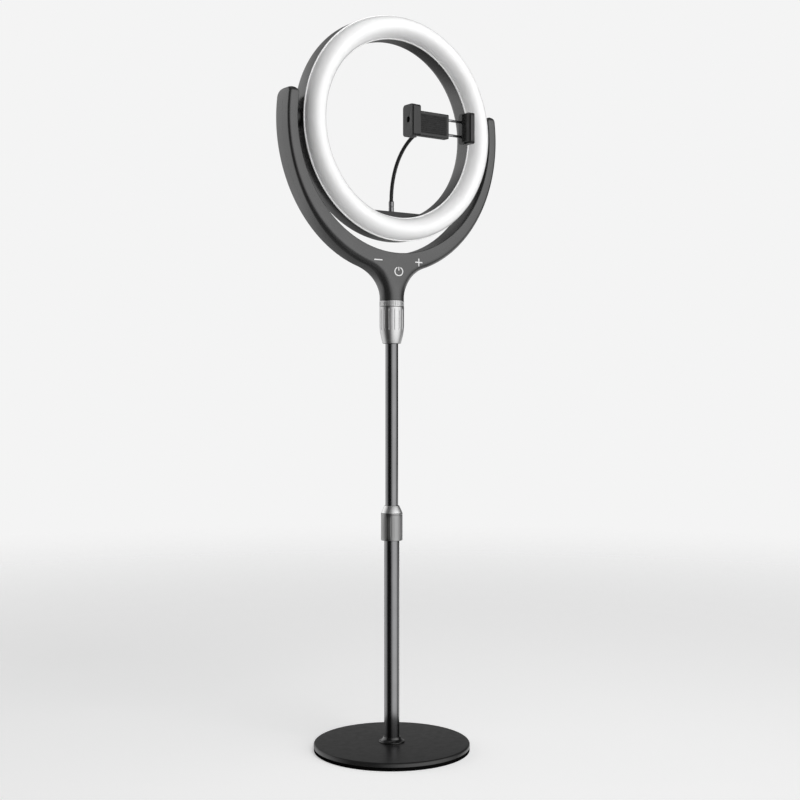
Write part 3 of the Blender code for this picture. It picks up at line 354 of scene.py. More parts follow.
def carve(obj, tool_mesh, operation="DIFFERENCE"):
    """Cuts a closed mesh out of an object, or joins it on, or keeps what both share."""
    tool = make_mesh("carving_tool", tool_mesh)
    modifier = obj.modifiers.new("carve", "BOOLEAN")
    modifier.operation = operation
    modifier.solver = "EXACT"
    modifier.object = tool
    obj.modifiers.new("weld", "WELD").merge_threshold = 0.004 * MM
    settle(obj)
    bpy.data.objects.remove(tool)


def soften(obj, width, segments=3, limit_degrees=38):
    modifier = obj.modifiers.new("soft_edges", "BEVEL")
    modifier.width = width
    modifier.segments = segments
    modifier.limit_method = "ANGLE"
    modifier.angle_limit = math.radians(limit_degrees)
    modifier.harden_normals = True
    return obj


def finish_piece(obj, node, material=None):
    """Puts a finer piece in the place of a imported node, on that node's body and with its slot."""
    obj.data.materials.clear()
    obj.data.materials.append(MATERIALS[material or SLOTS[node]])
    if obj.parent is None and "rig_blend" not in obj:
        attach(obj, BODIES[node])
    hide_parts(node)


def fine(node, bm, material=None, edge=0.0):
    obj = make_mesh(f"{node}_fine", bm)
    if edge:
        soften(obj, edge)
    finish_piece(obj, node, material)


def extra(name, bm, material, body, edge=0.0):
    """A small piece that has no node of its own."""
    obj = make_mesh(name, bm)
    obj.data.materials.append(MATERIALS[material])
    if edge:
        soften(obj, edge)
    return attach(obj, body)


def fine_turned(node, profile, place=Matrix.Identity(4), segments=96, radius=0.3 * MM, pull=None,
                material=None):
    fine(node, add_turned(bmesh.new(), rounded(profile, radius), place, segments, pull), material)


# ---------------------------------------------------------------- materials

SPECULAR = "Specular IOR Level"
COAT = "Coat Weight"
COAT_ROUGHNESS = "Coat Roughness"


def add_node(tree, kind, inputs, **settings):
    """A node with its settings made, and its inputs fed from sockets or plain values."""
    node = tree.nodes.new(kind)
    for name, value in settings.items():
        setattr(node, name, value)
    for key, source in inputs.items():
        if isinstance(source, bpy.types.NodeSocket):
            tree.links.new(source, node.inputs[key])
        else:
            node.inputs[key].default_value = source
    return node


def map_range(tree, source, start, end, lowest, highest, kind="LINEAR"):
    inputs = {"Value": source, "From Min": start, "From Max": end, "To Min": lowest, "To Max": highest}
    return add_node(tree, "ShaderNodeMapRange", inputs, interpolation_type=kind).outputs["Result"]


def noise(tree, per_metre, detail, stretch=(1, 1, 1)):
    """A noise texture on the piece's own coordinates, with its scale given per metre."""
    coordinates = tree.nodes.new("ShaderNodeTexCoord").outputs["Object"]
    scale = [per_metre * share for share in stretch]
    place = add_node(tree, "ShaderNodeMapping", {"Scale": scale, "Vector": coordinates}).outputs["Vector"]
    inputs = {"Scale": 1.0, "Detail": detail, "Vector": place}
    return add_node(tree, "ShaderNodeTexNoise", inputs).outputs["Fac"]


def make_finish(name, colour, roughness, metallic=0.0, sockets=None, mottle=None, gloss=None, grains=(),
                edges=(0.3, 0.7)):
    """A material whose colour, roughness and fine relief vary, each by a noise of its own.

    mottle is the noise and two colours, gloss the noise and two roughnesses, and each grain the noise,
    its height and maybe its strength. The noise runs from one end to the other between the edges.
    """
    material = bpy.data.materials.new(name)
    material.use_nodes = True
    MATERIALS[name] = material
    tree = material.node_tree
    shader = tree.nodes["Principled BSDF"].inputs
    plain = {"Base Color": (*colour, 1), "Roughness": roughness, "Metallic": metallic, **(sockets or {})}
    for socket, value in plain.items():
        shader[socket].default_value = value
    if mottle:
        factor = map_range(tree, noise(tree, *mottle[0]), *edges, 0, 1)
        inputs = {"A": (*mottle[1], 1), "B": (*mottle[2], 1), "Factor": factor}
        mix = add_node(tree, "ShaderNodeMix", inputs, data_type="RGBA")
        tree.links.new(mix.outputs["Result"], shader["Base Color"])
    if gloss:
        tree.links.new(map_range(tree, noise(tree, *gloss[0]), *edges, *gloss[1:]), shader["Roughness"])
    for texture, height, *strength in grains:
        inputs = {"Strength": strength[0] if strength else 1.0, "Distance": height,
                  "Height": noise(tree, *texture)}
        if shader["Normal"].is_linked:
            inputs["Normal"] = shader["Normal"].links[0].from_socket
        tree.links.new(add_node(tree, "ShaderNodeBump", inputs).outputs["Normal"], shader["Normal"])


def grey(value, tint=0.0):
    return (value, value, value * (1 + tint))


def make_moulded(name, tone, roughness, sockets, grain=0.012 * MM, more=()):
    """Moulded plastic: fine spark-eroded grain, a faint mottle and slightly uneven gloss."""
    make_finish(name, grey(tone), roughness, 0, sockets, ((55, 3), grey(tone * 0.9), grey(tone * 1.12)),
                ((120, 4), roughness - 0.035, roughness + 0.035), (((2600, 1), grain), *more))


def make_metal(name, tone, roughness, stretch, height=0.004 * MM, tint=0.0, more=()):
    """Bare or plated metal, with tooling marks drawn out along one direction."""
    marks = (1, 3, stretch)
    make_finish(name, grey(tone, tint), roughness, 1.0, None,
                ((40, 2), grey(tone * 0.95, tint), grey(tone * 1.04, tint)),
                (marks, roughness - 0.04, roughness + 0.05), ((marks, height), *more))


def make_materials():
    make_moulded("satin_plastic", 0.024, 0.24, {SPECULAR: 0.95, COAT: 0.1, COAT_ROUGHNESS: 0.18})
    make_moulded("clamp_plastic", 0.012, 0.36, {SPECULAR: 0.6})
    make_moulded("black_plastic", 0.008, 0.34, {SPECULAR: 0.5})
    make_moulded("gloss_black", 0.01, 0.14, {SPECULAR: 0.8, COAT: 0.5}, 0.003 * MM)
    make_moulded("base_paint", 0.012, 0.33, {SPECULAR: 0.55}, more=(((900, 2), 0.015 * MM, 0.5),))
    make_metal("tube_paint", 0.215, 0.19, (300, 300, 12), 0.0015 * MM, 0.02, (((1500, 1), 0.001 * MM),))
    turning = (60, 60, 5200)
    make_metal("satin_silver", 0.62, 0.36, turning, 0.003 * MM)
    make_metal("bright_silver", 0.95, 0.42, turning, 0.003 * MM)
    # collar_silver is the collar grip's metal. Its cone takes bright_silver, the same metal in a far lighter
    # tone, which is a painted highlight.
    make_metal("collar_silver", 0.3, 0.34, turning, 0.003 * MM)
    make_metal("steel", 0.5, 0.28, (900, 900, 900), 0.003 * MM, 0.02)
    make_metal("black_steel", 0.03, 0.4, (900, 900, 900))
    make_finish("cast_iron", grey(0.1), 0.65, 0.9, None, ((300, 4), grey(0.07), (0.13, 0.11, 0.1)),
                grains=(((700, 4), 0.12 * MM),))
    make_finish("brass", (0.6, 0.43, 0.17), 0.3, 1.0, None, ((90, 3), (0.56, 0.4, 0.15), (0.66, 0.48, 0.2)),
                grains=(((1, 2, (60, 60, 4000)), 0.004 * MM),))
    make_finish("black_rubber", grey(0.012), 0.62, 0, {SPECULAR: 0.35}, ((400, 4), grey(0.008), grey(0.018)),
                ((150, 3), 0.55, 0.7), (((1800, 2), 0.02 * MM),))
    make_finish("foot_rubber", grey(0.002), 0.9, 0, {SPECULAR: 0.0}, ((900, 4), grey(0.0015), grey(0.003)),
                grains=(((1400, 4), 0.08 * MM),))
    make_finish("gooseneck_skin", grey(0.006), 0.3, 0, {SPECULAR: 0.5}, ((200, 2), grey(0.004), grey(0.009)),
                ((500, 3), 0.24, 0.38))
    milky = {"Subsurface Weight": 0.35, "Subsurface Scale": 0.004, "Subsurface Radius": (1, 1, 1),
             SPECULAR: 0.5, COAT: 0.3, COAT_ROUGHNESS: 0.1}
    make_finish("diffuser_white", grey(0.93), 0.22, 0, milky, ((35, 3), grey(0.915), grey(0.945)),
                ((90, 3), 0.2, 0.26), (((1600, 2), 0.003 * MM),))
    make_finish("key_print", grey(0.62), 0.5, mottle=((1500, 2), grey(0.56), grey(0.68)),
                grains=(((2600, 1), 0.01 * MM),))
    make_finish("circuit_board", (0.02, 0.1, 0.04), 0.4, edges=(0.45, 0.5),
                mottle=((350, 1), (0.015, 0.085, 0.03), (0.03, 0.13, 0.05)))
    make_finish("lamp_board", (0.8, 0.8, 0.74), 0.4,
                mottle=((240, 2), (0.74, 0.74, 0.66), (0.86, 0.86, 0.8)))


# ---------------------------------------------------------------- base

def make_base():
    radius = high("base_cover").x
    top = high("base_cover").z
    bottom = low("base_cover").z + 0.9 * MM
    wall = 1.7 * MM
    bore = 4.3 * MM
    cover = [(radius, top, 2.2 * MM), (radius, bottom, 0.3 * MM), (radius - wall, bottom, 0),
             (radius - wall, top - 2 * wall, 0), (radius - 2 * wall, top - wall, 0),
             (bore, top - wall, 0), (bore, top, 0)]
    fine("base_cover", add_turned(bmesh.new(), rounded(cover, 0, 10), segments=220))

    pad_radius = radius - 0.15 * MM
    pad_top = bottom - 0.05 * MM
    pad = [(pad_radius, pad_top), (pad_radius, 0, 0.7 * MM), (9.5 * MM, 0), (9.5 * MM, pad_top)]
    fine_turned("base_foot_pad", pad, segments=180)

    foot = low("base_flange").z
    cone_top = high("base_flange").z
    bore = high("lower_tube").x + 0.15 * MM
    outer = high("base_flange").x
    flange = [(outer, foot + 1.0 * MM, 0.5 * MM), (outer, foot, 0.1 * MM), (bore, foot, 0),
              (bore, cone_top, 0.1 * MM), (9.9 * MM, cone_top, 0.3 * MM)]
    fine_turned("base_flange", flange + mm((11.0, 12.5, 2.5), (13.2, 10.9, 2.5)), segments=128)


# ---------------------------------------------------------------- mast

def make_tube(node, wall):
    outer, top, bottom = high(node).x, high(node).z, low(node).z
    fine_turned(node, [(outer, top), (outer, bottom), (outer - wall, bottom), (outer - wall, top)])


def ribs(count, depth, bottom, top, share, blend, beyond, phase=0.0):
    """Straight grooves round the outside of a turned piece, from a radius beyond the given one.

    They run between two heights and fade out at their ends.
    """
    def pull(angle, radius, height):
        if radius <= beyond or not bottom <= height <= top:
            return 0
        fade = min((height - bottom) / blend, (top - height) / blend, 1)
        turn = ((angle + phase) * count / (2 * math.pi)) % 1
        inside = max(0.0, 1 - abs(turn - 0.5) * 2 / share)
        return depth * math.sqrt(min(max(fade, 0), 1)) * min(inside * 1.6, 1)
    return pull


def ladder(radius, bottom, top, rows):
    """Points down the side of a turned piece, so that grooves have rows to follow."""
    return [(radius, bottom + (top - bottom) * row / rows, 0) for row in range(rows, -1, -1)]


def make_collar():
    radius = high("height_collar").x
    bottom = low("height_collar").z
    top = high("height_collar").z
    shoulder = top - 8.4 * MM
    nut_bore = high("lower_tube").x + GAP
    tube_top = high("lower_tube").z
    collet = 10.9 * MM
    seam = shoulder - 0.2 * MM
    cone = [(8.6 * MM, top, 0.5 * MM), (radius - 0.1 * MM, shoulder, 0.4 * MM),
            (radius - 0.3 * MM, seam, 0), (collet, seam, 0), (collet, shoulder, 0),
            (7.85 * MM, top - 0.8 * MM, 0), (7.85 * MM, top, 0.1 * MM)]
    # The cone is the same metal as the grip below it, given the far lighter bright_silver tone as a painted
    # highlight.
    crown = extra("height_collar_cone", add_turned(bmesh.new(), rounded(cone, 0.2 * MM), segments=160),
                  "bright_silver", BODIES["height_collar"])

    grip_bottom = bottom + 2.2 * MM
    grip_top = shoulder - 3.4 * MM
    profile = [(radius - 0.3 * MM, seam - 0.02 * MM, 0), (radius, seam - 0.4 * MM, 0.2 * MM),
               (radius, shoulder - 2.3 * MM, 0), (radius - 0.12 * MM, shoulder - 2.5 * MM, 0),
               (radius, shoulder - 2.7 * MM, 0), *ladder(radius, grip_bottom, grip_top, 14),
               (radius, bottom, 0.5 * MM), (nut_bore, bottom, 0.2 * MM), (nut_bore, tube_top, 0),
               (collet, tube_top, 0), (collet, seam - 0.02 * MM, 0)]
    grip = ribs(40, 0.14 * MM, grip_bottom, grip_top, 0.4, 0.8 * MM, radius - 0.05 * MM)
    fine_turned("height_collar", profile, segments=320, radius=0.2 * MM, pull=grip,
                material="collar_silver")


def make_neck_nut():
    radius = high("neck_nut").x
    seam = high("neck_nut").z
    bottom = low("neck_nut").z
    bore = high("upper_tube").x + GAP
    straight = 495 * MM
    foot_radius = 10.5 * MM
    taper = []
    for step in range(1, 24):
        share = step / 24
        height = straight + (bottom - straight) * share
        taper.append((radius - (radius - foot_radius) * share ** 1.8, height, 0))
    profile = [(12 * MM, seam, 0), (radius, seam, 0.35 * MM), *ladder(radius, straight, 514 * MM, 14),
               *taper, (foot_radius, bottom, 0.4 * MM), (bore, bottom, 0.2 * MM), (bore, 484 * MM, 0),
               (12 * MM, 488.5 * MM, 0)]
    flutes = ribs(15, 0.44 * MM, 488.5 * MM, 513.3 * MM, 0.18, 1.6 * MM, 13.2 * MM, math.radians(5.1))
    fine_turned("neck_nut", profile, segments=360, radius=0.2 * MM, pull=flutes)


def make_neck_ring():
    radius = high("neck_ring").x
    bottom = low("neck_ring").z
    top = high("neck_ring").z
    bore = 8.3 * MM
    notched = (bottom + 0.8 * MM, top - 0.8 * MM)
    profile = [(bore, top, 0), (radius, top, 0.25 * MM), *ladder(radius, *notched, 8),
               (radius, bottom, 0.35 * MM), (bore, bottom, 0)]
    notches = ribs(45, 0.5 * MM, *notched, 0.4, 0.7 * MM, radius - 0.05 * MM)
    fine_turned("neck_ring", profile, segments=450, radius=0.2 * MM, pull=notches)


# ---------------------------------------------------------------- yoke

TIP_STEPS = 12
ARM_STEPS = 60
FILLET_STEPS = 24


def ellipse_point(axes, angle):
    """A point (x, z) on a yoke contour; the angle runs down from the +X axis."""
    return Vector((axes[0] * math.cos(angle), RING_Z - axes[1] * math.sin(angle)))


def angle_at_height(axes, z):
    return math.asin((RING_Z - z) / axes[1])


def yoke_fillet():
    """Radius, centre and first normal of the fillet from the outer ellipse to the neck's side."""
    start = ellipse_point(YOKE_OUTER, FILLET_START)
    normal = Vector((math.cos(FILLET_START) / YOKE_OUTER[0],
                     -math.sin(FILLET_START) / YOKE_OUTER[1])).normalized()
    radius = (start.x - YOKE_NECK_RADIUS) / (1 - normal.x)
    return radius, start + normal * radius, normal


def smooth(value):
    value = min(max(value, 0.0), 1.0)
    return value * value * (3 - 2 * value)


def inner_normal(angle):
    """The way into the plastic from the yoke's inner contour."""
    return Vector((math.cos(angle) / YOKE_INNER[0], -math.sin(angle) / YOKE_INNER[1])).normalized()


def tip_stations(side):
    """The rounded end of an arm, from its top down to where the arm is full."""
    corner = YOKE_CORNERS[side][0]
    stations = []
    for step in range(TIP_STEPS + 1):
        below = YOKE_TIP_ROUND * (1 - math.sin(math.radians(88 * (1 - step / TIP_STEPS))))

        def drop(width, height):
            above = max(1 - below / height, 0)
            return width * (1 - math.sqrt(1 - above ** 2))

        z = YOKE_TIP_Z - below
        outer = ellipse_point(YOKE_OUTER, angle_at_height(YOKE_OUTER, z))
        inner_angle = angle_at_height(YOKE_INNER, z)
        inner = ellipse_point(YOKE_INNER, inner_angle)
        outer.x -= drop(2.5 * MM, 3.5 * MM)
        inner.x += drop(8.5 * MM, 9 * MM)
        half_depth = YOKE_HALF_DEPTH - drop(*YOKE_TIP_DEPTHS[side])
        stations.append((outer, inner, half_depth, corner, inner_normal(inner_angle)))
    return stations


def fillet_stations(corners):
    """From the lower bow into the round neck."""
    stations = []
    down = Vector((0, -1))
    radius, centre, normal = yoke_fillet()
    start = math.atan2(-normal.y, -normal.x)
    bottom_inner = RING_Z - YOKE_INNER[1]
    for step in range(1, FILLET_STEPS + 1):
        share = step / FILLET_STEPS
        angle = start + (math.pi - start) * share
        outer = centre + radius * Vector((math.cos(angle), math.sin(angle)))
        if share <= 0.5:
            angle = FILLET_START + (math.pi / 2 - FILLET_START) * share * 2
            inner = ellipse_point(YOKE_INNER, angle)
            into = inner_normal(angle)
        else:
            drop = (bottom_inner - centre.y - YOKE_EDGE) * smooth(share * 2 - 1) * 0.96
            inner = Vector((0, bottom_inner - YOKE_EDGE - drop))
            into = None
        swell = smooth((536 * MM - outer.y) / (10 * MM))
        half_depth = YOKE_HALF_DEPTH + (YOKE_NECK_RADIUS - YOKE_HALF_DEPTH) * swell
        rounding = corners[1] + (YOKE_NECK_RADIUS - corners[1]) * smooth(share)
        stations.append((outer, inner, half_depth, rounding, into))
    foot = low("yoke_front_shell").z
    stations.append((Vector((YOKE_NECK_RADIUS, foot)), Vector((0, foot)),
                     YOKE_NECK_RADIUS, YOKE_NECK_RADIUS, None))
    return stations


def yoke_stations(side):
    """(outer point, inner point, half depth, corner radius, inner normal) from tip to neck."""
    corners = YOKE_CORNERS[side]
    stations = tip_stations(side)
    first = angle_at_height(YOKE_OUTER, YOKE_TIP_Z - YOKE_TIP_ROUND)
    for step in range(1, ARM_STEPS + 1):
        share = step / ARM_STEPS
        angle = first + (FILLET_START - first) * share
        rounding = corners[0] + (corners[1] - corners[0]) * smooth(share)
        stations.append((ellipse_point(YOKE_OUTER, angle), ellipse_point(YOKE_INNER, angle),
                         YOKE_HALF_DEPTH, rounding, inner_normal(angle)))
    return stations + fillet_stations(corners)


def yoke_section(outer, inner, half_depth, rounding, into):
    """Points (x and z, depth) round one half's section, the same number at every station."""
    parting = 0.04 * MM
    corner_steps = 12
    edge_steps = 6
    span = inner - outer
    inward = span.normalized()
    width = span.length
    edge = min(YOKE_EDGE, 0.35 * width)
    rounding = min(rounding, half_depth - parting, width * (0.6 if into else 0.99))
    section = [(outer, parting)]
    for step in range(corner_steps + 1):
        angle = math.pi / 2 * step / corner_steps
        depth = half_depth - rounding + rounding * math.sin(angle)
        section.append((outer + inward * rounding * (1 - math.cos(angle)), depth))
    for step in range(edge_steps + 1):
        angle = math.pi / 2 * step / edge_steps
        if into is None:
            section.append((inner, half_depth))
            continue
        place = inner + into * edge * (1 - math.sin(angle))
        section.append((place, half_depth - edge * (1 - math.cos(angle))))
    return section + [(inner, parting)], edge_steps + 2


def add_yoke_half(bm, side):
    rows = []
    for station in yoke_stations(side):
        section, inner_count = yoke_section(*station)
        rows.append(([bm.verts.new((p.x, side * depth, p.y)) for p, depth in section],
                     station[1].x < 1e-7))
    for (row, on_axis), (below, below_on_axis) in zip(rows, rows[1:]):
        for index in range(len(row)):
            after = (index + 1) % len(row)
            inner_strip = len(row) - inner_count <= index < len(row) - 1
            if inner_strip and on_axis and below_on_axis:
                continue
            bm.faces.new((row[index], row[after], below[after], below[index]))
    bm.faces.new(rows[0][0])
    bm.faces.new(list(reversed(rows[-1][0])))
    bmesh.ops.remove_doubles(bm, verts=bm.verts, dist=0.02 * MM)
    mirrored = bmesh.ops.duplicate(bm, geom=bm.verts[:] + bm.edges[:] + bm.faces[:])["geom"]
    for item in mirrored:
        if isinstance(item, bmesh.types.BMVert):
            item.co.x = -item.co.x
    bmesh.ops.remove_doubles(bm, verts=bm.verts, dist=0.02 * MM)


def yoke_cavity_outline():
    """Outline of the wiring channel, an even wall inside both contours."""
    outer_side = []
    inner_side = []
    for outer, inner, _, rounding, _ in yoke_stations(-1)[TIP_STEPS:-FILLET_STEPS // 4 - 1]:
        inward = (inner - outer).normalized()
        outer_wall = YOKE_WALL + 0.3 * max(rounding - 2 * MM, 0)
        outer_side.append(outer + inward * outer_wall)
        if inner.x > 1e-7:
            inner_side.append(inner - inward * YOKE_WALL)
    right = outer_side + [Vector((0, outer_side[-1].y))]
    top = inner_side + [Vector((0, RING_Z - YOKE_INNER[1] - YOKE_WALL))]
    outline = right + [Vector((-p.x, p.y)) for p in reversed(outer_side)]
    outline += [Vector((-p.x, p.y)) for p in inner_side]
    outline += [Vector((p.x, p.y)) for p in reversed(top)]
    return [(p.x, p.y) for p in outline]


def screw_frames():
    """A frame at each shell screw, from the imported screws."""
    spots = [(low(node) + high(node)) / 2 for node in (f"yoke_screw_{number}" for number in range(1, 5))]
    return [axis_frame((spot.x, 0, spot.z), -TOWARDS_FRONT) for spot in spots]


def cross_outline(wide, tall, half):
    """A plus sign from half its width, half its height and half its stroke."""
    lower = [(-wide, -half), (-half, -half), (-half, -tall), (half, -tall), (half, -half), (wide, -half)]
    return lower + [(-x, -z) for x, z in lower]


def icon_outlines():
    """Closed outlines (x, z) of the four inlaid key marks."""
    power = Vector((0, 556.4)) * MM
    minus = Vector((-29, 568.5)) * MM
    plus = Vector((29, 568.5)) * MM
    ring = arc(power, 5.5 * MM, 112, 428, 60) + arc(power, 4.2 * MM, 428, 112, 60)
    bar = mm((-0.65, 0.9), (0.65, 0.9), (0.65, 5.4), (-0.65, 5.4))
    dash = mm((-5.8, -0.75), (5.8, -0.75), (5.8, 0.75), (-5.8, 0.75))

    def moved(points, centre):
        return [(centre.x + x, centre.y + z) for x, z in points]

    return {
        "power_key_ring": [(1.15 * x, z) for x, z in ring],
        "power_key_bar": moved(rounded(bar, 0.3 * MM), power),
        "dimmer_key": moved(rounded(dash, 0.3 * MM), minus),
        "brighter_key": moved(cross_outline(5.3 * MM, 4.6 * MM, 0.75 * MM), plus),
    }


def grown(outline, margin):
    """An outline moved outwards by a margin, corner by corner."""
    result = []
    count = len(outline)
    area = sum(outline[i][0] * outline[(i + 1) % count][1] - outline[(i + 1) % count][0] * outline[i][1]
               for i in range(count))
    sign = 1 if area > 0 else -1
    for index in range(count):
        here = Vector(outline[index])
        before = (here - Vector(outline[index - 1])).normalized()
        after = (Vector(outline[(index + 1) % count]) - here).normalized()
        first = Vector((before.y, -before.x)) * sign
        second = Vector((after.y, -after.x)) * sign
        corner = first + second
        result.append(tuple(here + corner * (2 * margin / corner.length_squared)))
    return result


def new_slot(centre_z, half_width, half_height, near, far):
    """A slot with round ends, about the inlet's centre."""
    shift = half_width - half_height
    right = arc((shift, centre_z), half_height, -90, 90, 16)
    left = arc((-shift, centre_z), half_height, 90, 270, 16)
    return add_extruded(bmesh.new(), right + left, near, far)


def yoke_cavity():
    """The hollow of both shells, with the four screw bosses left standing in it."""
    cavity = make_mesh("yoke_cavity",
                       add_extruded(bmesh.new(), yoke_cavity_outline(), -9.6 * MM, 9.6 * MM))
    bosses = bmesh.new()
    for place in screw_frames():
        add_stepped(bosses, place, (-11, 11), (3.2,))
    carve(cavity, bosses)
    return take_mesh(cavity)


def yoke_bores():
    """Bores for the screws, the stem and the tilt pins."""
    bm = bmesh.new()
    for place in screw_frames():
        add_stepped(bm, place, (-9, 8, 15), (1.5, 2.6))
    add_stepped(bm, Matrix.Identity(4), (515, 540.4, 552), (8.3, 10), 64)
    for place in PIVOT_FRAMES.values():
        add_stepped(bm, place, (134, 141), (2.8,))
    return bm


def make_yoke():
    shells = {}
    for name, side in (("yoke_front_shell", -1), ("yoke_rear_shell", 1)):
        bm = bmesh.new()
        add_yoke_half(bm, side)
        shells[name] = make_mesh(f"{name}_fine", bm)
        carve(shells[name], yoke_cavity())
        carve(shells[name], yoke_bores())

    pockets = bmesh.new()
    for name, outline in icon_outlines().items():
        mark = add_extruded(bmesh.new(), outline, YOKE_FRONT_Y, YOKE_FRONT_Y + 0.7 * MM)
        fine(name, mark, edge=0.08 * MM)
        add_extruded(pockets, grown(outline, 0.12 * MM), YOKE_FRONT_Y - 1 * MM, YOKE_FRONT_Y + 1 * MM)
    carve(shells["yoke_front_shell"], pockets)
    inlet_z = middle("power_inlet", Z)
    carve(shells["yoke_rear_shell"], new_slot(inlet_z, 4.9 * MM, 2.1 * MM, 5 * MM, 16 * MM))
    for name, obj in shells.items():
        finish_piece(obj, name)

    make_inlet(inlet_z)
    for number in range(1, 5):
        make_cross_screw(f"yoke_screw_{number}", 2.3 * MM, "black_steel")


def make_inlet(centre_z):
    """The power socket: a drawn shell with a rolled lip, and its contact tongue."""
    back = high("power_inlet").y
    socket = make_mesh("power_inlet_fine", new_slot(centre_z, 4.6 * MM, 1.8 * MM, back - 7 * MM, back))
    carve(socket, new_slot(centre_z, 4.2 * MM, 1.4 * MM, back - 6.2 * MM, back + 1 * MM))
    finish_piece(soften(socket, 0.12 * MM, 2), "power_inlet")
    tongue = new_box((-3.3 * MM, back - 6.1 * MM, centre_z - 0.35 * MM),
                     (3.3 * MM, back - 1.5 * MM, centre_z + 0.35 * MM))
    extra("power_inlet_tongue", tongue, "black_plastic", BODIES["power_inlet"], 0.1 * MM)


def new_screw(name, profile, place, segments, arm, width, floor, top):
    """A turned screw with a cross recess cut into its head, from floor to top on its axis."""
    screw = make_mesh(name, add_turned(bmesh.new(), rounded(profile, 0.2 * MM), place, segments))
    blades = add_extruded(bmesh.new(), cross_outline(arm, arm, width), floor, top, "XY")
    bmesh.ops.transform(blades, matrix=place, verts=blades.verts)
    carve(screw, blades)
    return screw


def make_cross_screw(node, head_radius, material):
    """A pan-head screw whose axis is the box's longest side, with a cross recess in its head."""
    bottom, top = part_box(node)
    along = max(range(3), key=lambda axis: (top - bottom)[axis])
    towards = -1 if along == 0 or node == "clamp_spin_screw" else 1
    place = axis_frame((bottom + top) / 2, [towards if axis == along else 0 for axis in range(3)])
    half = (top - bottom)[along] / 2
    thick = min(1.4 * MM, half)
    shank = head_radius * 0.45
    profile = [(0, half, 0), (head_radius, half, 0.5 * MM), (head_radius, half - thick, 0.1 * MM),
               (shank, half - thick, 0), (shank, -half, 0), (0, -half, 0)]
    screw = new_screw(f"{node}_fine", profile, place, 48, head_radius * 0.62, head_radius * 0.13,
                      half - thick * 0.75, half + 1 * MM)
    finish_piece(screw, node, material)


# ---------------------------------------------------------------- ring head

RING_FRAME = Matrix.Translation((0, 0, RING_Z)) @ Matrix.Rotation(math.radians(90), 4, "X")


def ring_turned(name, section):
    """A ring about the light's axis from a closed section of (radius, y) points."""
    return make_mesh(name, add_turned(bmesh.new(), [(radius, -y) for radius, y in section], RING_FRAME, 256))


def make_diffuser_ring():
    """The milky cover: a dome with a flat bead round its outer and inner rims."""
    hole = 102.7 * MM
    track = (RING_RADIUS + hole) / 2
    half_width = (RING_RADIUS - hole) / 2
    height = RIM_Y - low("ring_diffuser").y
    wall = 1.6 * MM

    def dome(inset, steps, start_degrees=0.0):
        points = []
        for step in range(steps + 1):
            turn = math.radians(start_degrees)
            angle = turn + (math.pi - 2 * turn) * step / steps
            radius = track + (half_width - inset) * math.cos(angle)
            points.append((radius, RIM_Y - (height - min(inset, wall)) * math.sin(angle)))
        return points

    bead = 1.2 * MM
    step_in = 1.1 * MM
    outer = [(RING_RADIUS, RIM_Y), (RING_RADIUS, RIM_Y - bead + 0.3 * MM),
             (RING_RADIUS - 0.12 * MM, RIM_Y - bead), (RING_RADIUS - step_in, RIM_Y - bead)]
    inner = [(hole + step_in, RIM_Y - bead), (hole + 0.12 * MM, RIM_Y - bead),
             (hole, RIM_Y - bead + 0.3 * MM), (hole, RIM_Y)]
    start = math.degrees(math.asin(bead / height)) + 1.0
    section = outer + dome(step_in, 64, start) + inner + list(reversed(dome(wall, 24)))
    finish_piece(ring_turned("ring_diffuser_fine", section), "ring_diffuser")


def make_ring_shell():
    """The rear shell, rounded at its back, with six recessed screws in it."""
    back = high("ring_rear_shell").y
    rim = low("ring_rear_shell").y
    outer = high("ring_rear_shell").x
    inner = 103.1 * MM
    wall = 1.8 * MM
    curve = 8 * MM
    section = [(outer, rim, 1.5 * MM), (outer, back, curve), (inner, back, curve), (inner, rim, 0.9 * MM),
               (inner + wall, rim, 0), (inner + wall, back - wall, curve - wall),
               (outer - wall, back - wall, curve - wall), (outer - wall, rim, 0)]
    shell = ring_turned("ring_rear_shell_fine", rounded(section, 0.3 * MM, 10))
    bores = bmesh.new()
    for place in PIVOT_FRAMES.values():
        add_stepped(bores, place, (126, 132), (2.8,))
    track = (outer + inner) / 2
    places = []
    for number in range(6):
        angle = math.radians(30 + 60 * number)
        spot = (track * math.cos(angle), back, RING_Z + track * math.sin(angle))
        places.append(axis_frame(spot, -TOWARDS_FRONT))
        add_stepped(bores, places[-1], (-1.3, 1), (2.4,))
    carve(shell, bores)
    finish_piece(shell, "ring_rear_shell")
    head = mm((0, -0.25, 0), (2.2, -0.25, 0.4), (2.2, -1.25, 0), (0, -1.25, 0))
    for number, place in enumerate(places):
        screw = new_screw(f"ring_screw_{number + 1}", head, place, 40, 1.35 * MM, 0.3 * MM,
                          -0.95 * MM, 1 * MM)
        screw.data.materials.clear()
        screw.data.materials.append(MATERIALS["black_steel"])
        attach(screw, "ring")


def make_pivots():
    hub = mm((10.5, 134.8, 0.5), (10.5, 130.6, 0.4), (2.8, 130.6, 0), (2.8, 134.8, 0))
    washer = mm((9, 136), (9, 135.1), (2.8, 135.1), (2.8, 136))
    pin = mm((0, 142.2, 0), (4.4, 142.2), (4.4, 139.6), (2.5, 139.6, 0), (2.5, 123), (0, 123, 0))
    for name, side in (("left", -1), ("right", 1)):
        place = PIVOT_FRAMES[side]
        fine_turned(f"pivot_hub_{name}", hub, place)
        fine_turned(f"friction_washer_{name}", washer, place, radius=0.2 * MM)
        fine_turned(f"pivot_pin_{name}", pin, place, 48)


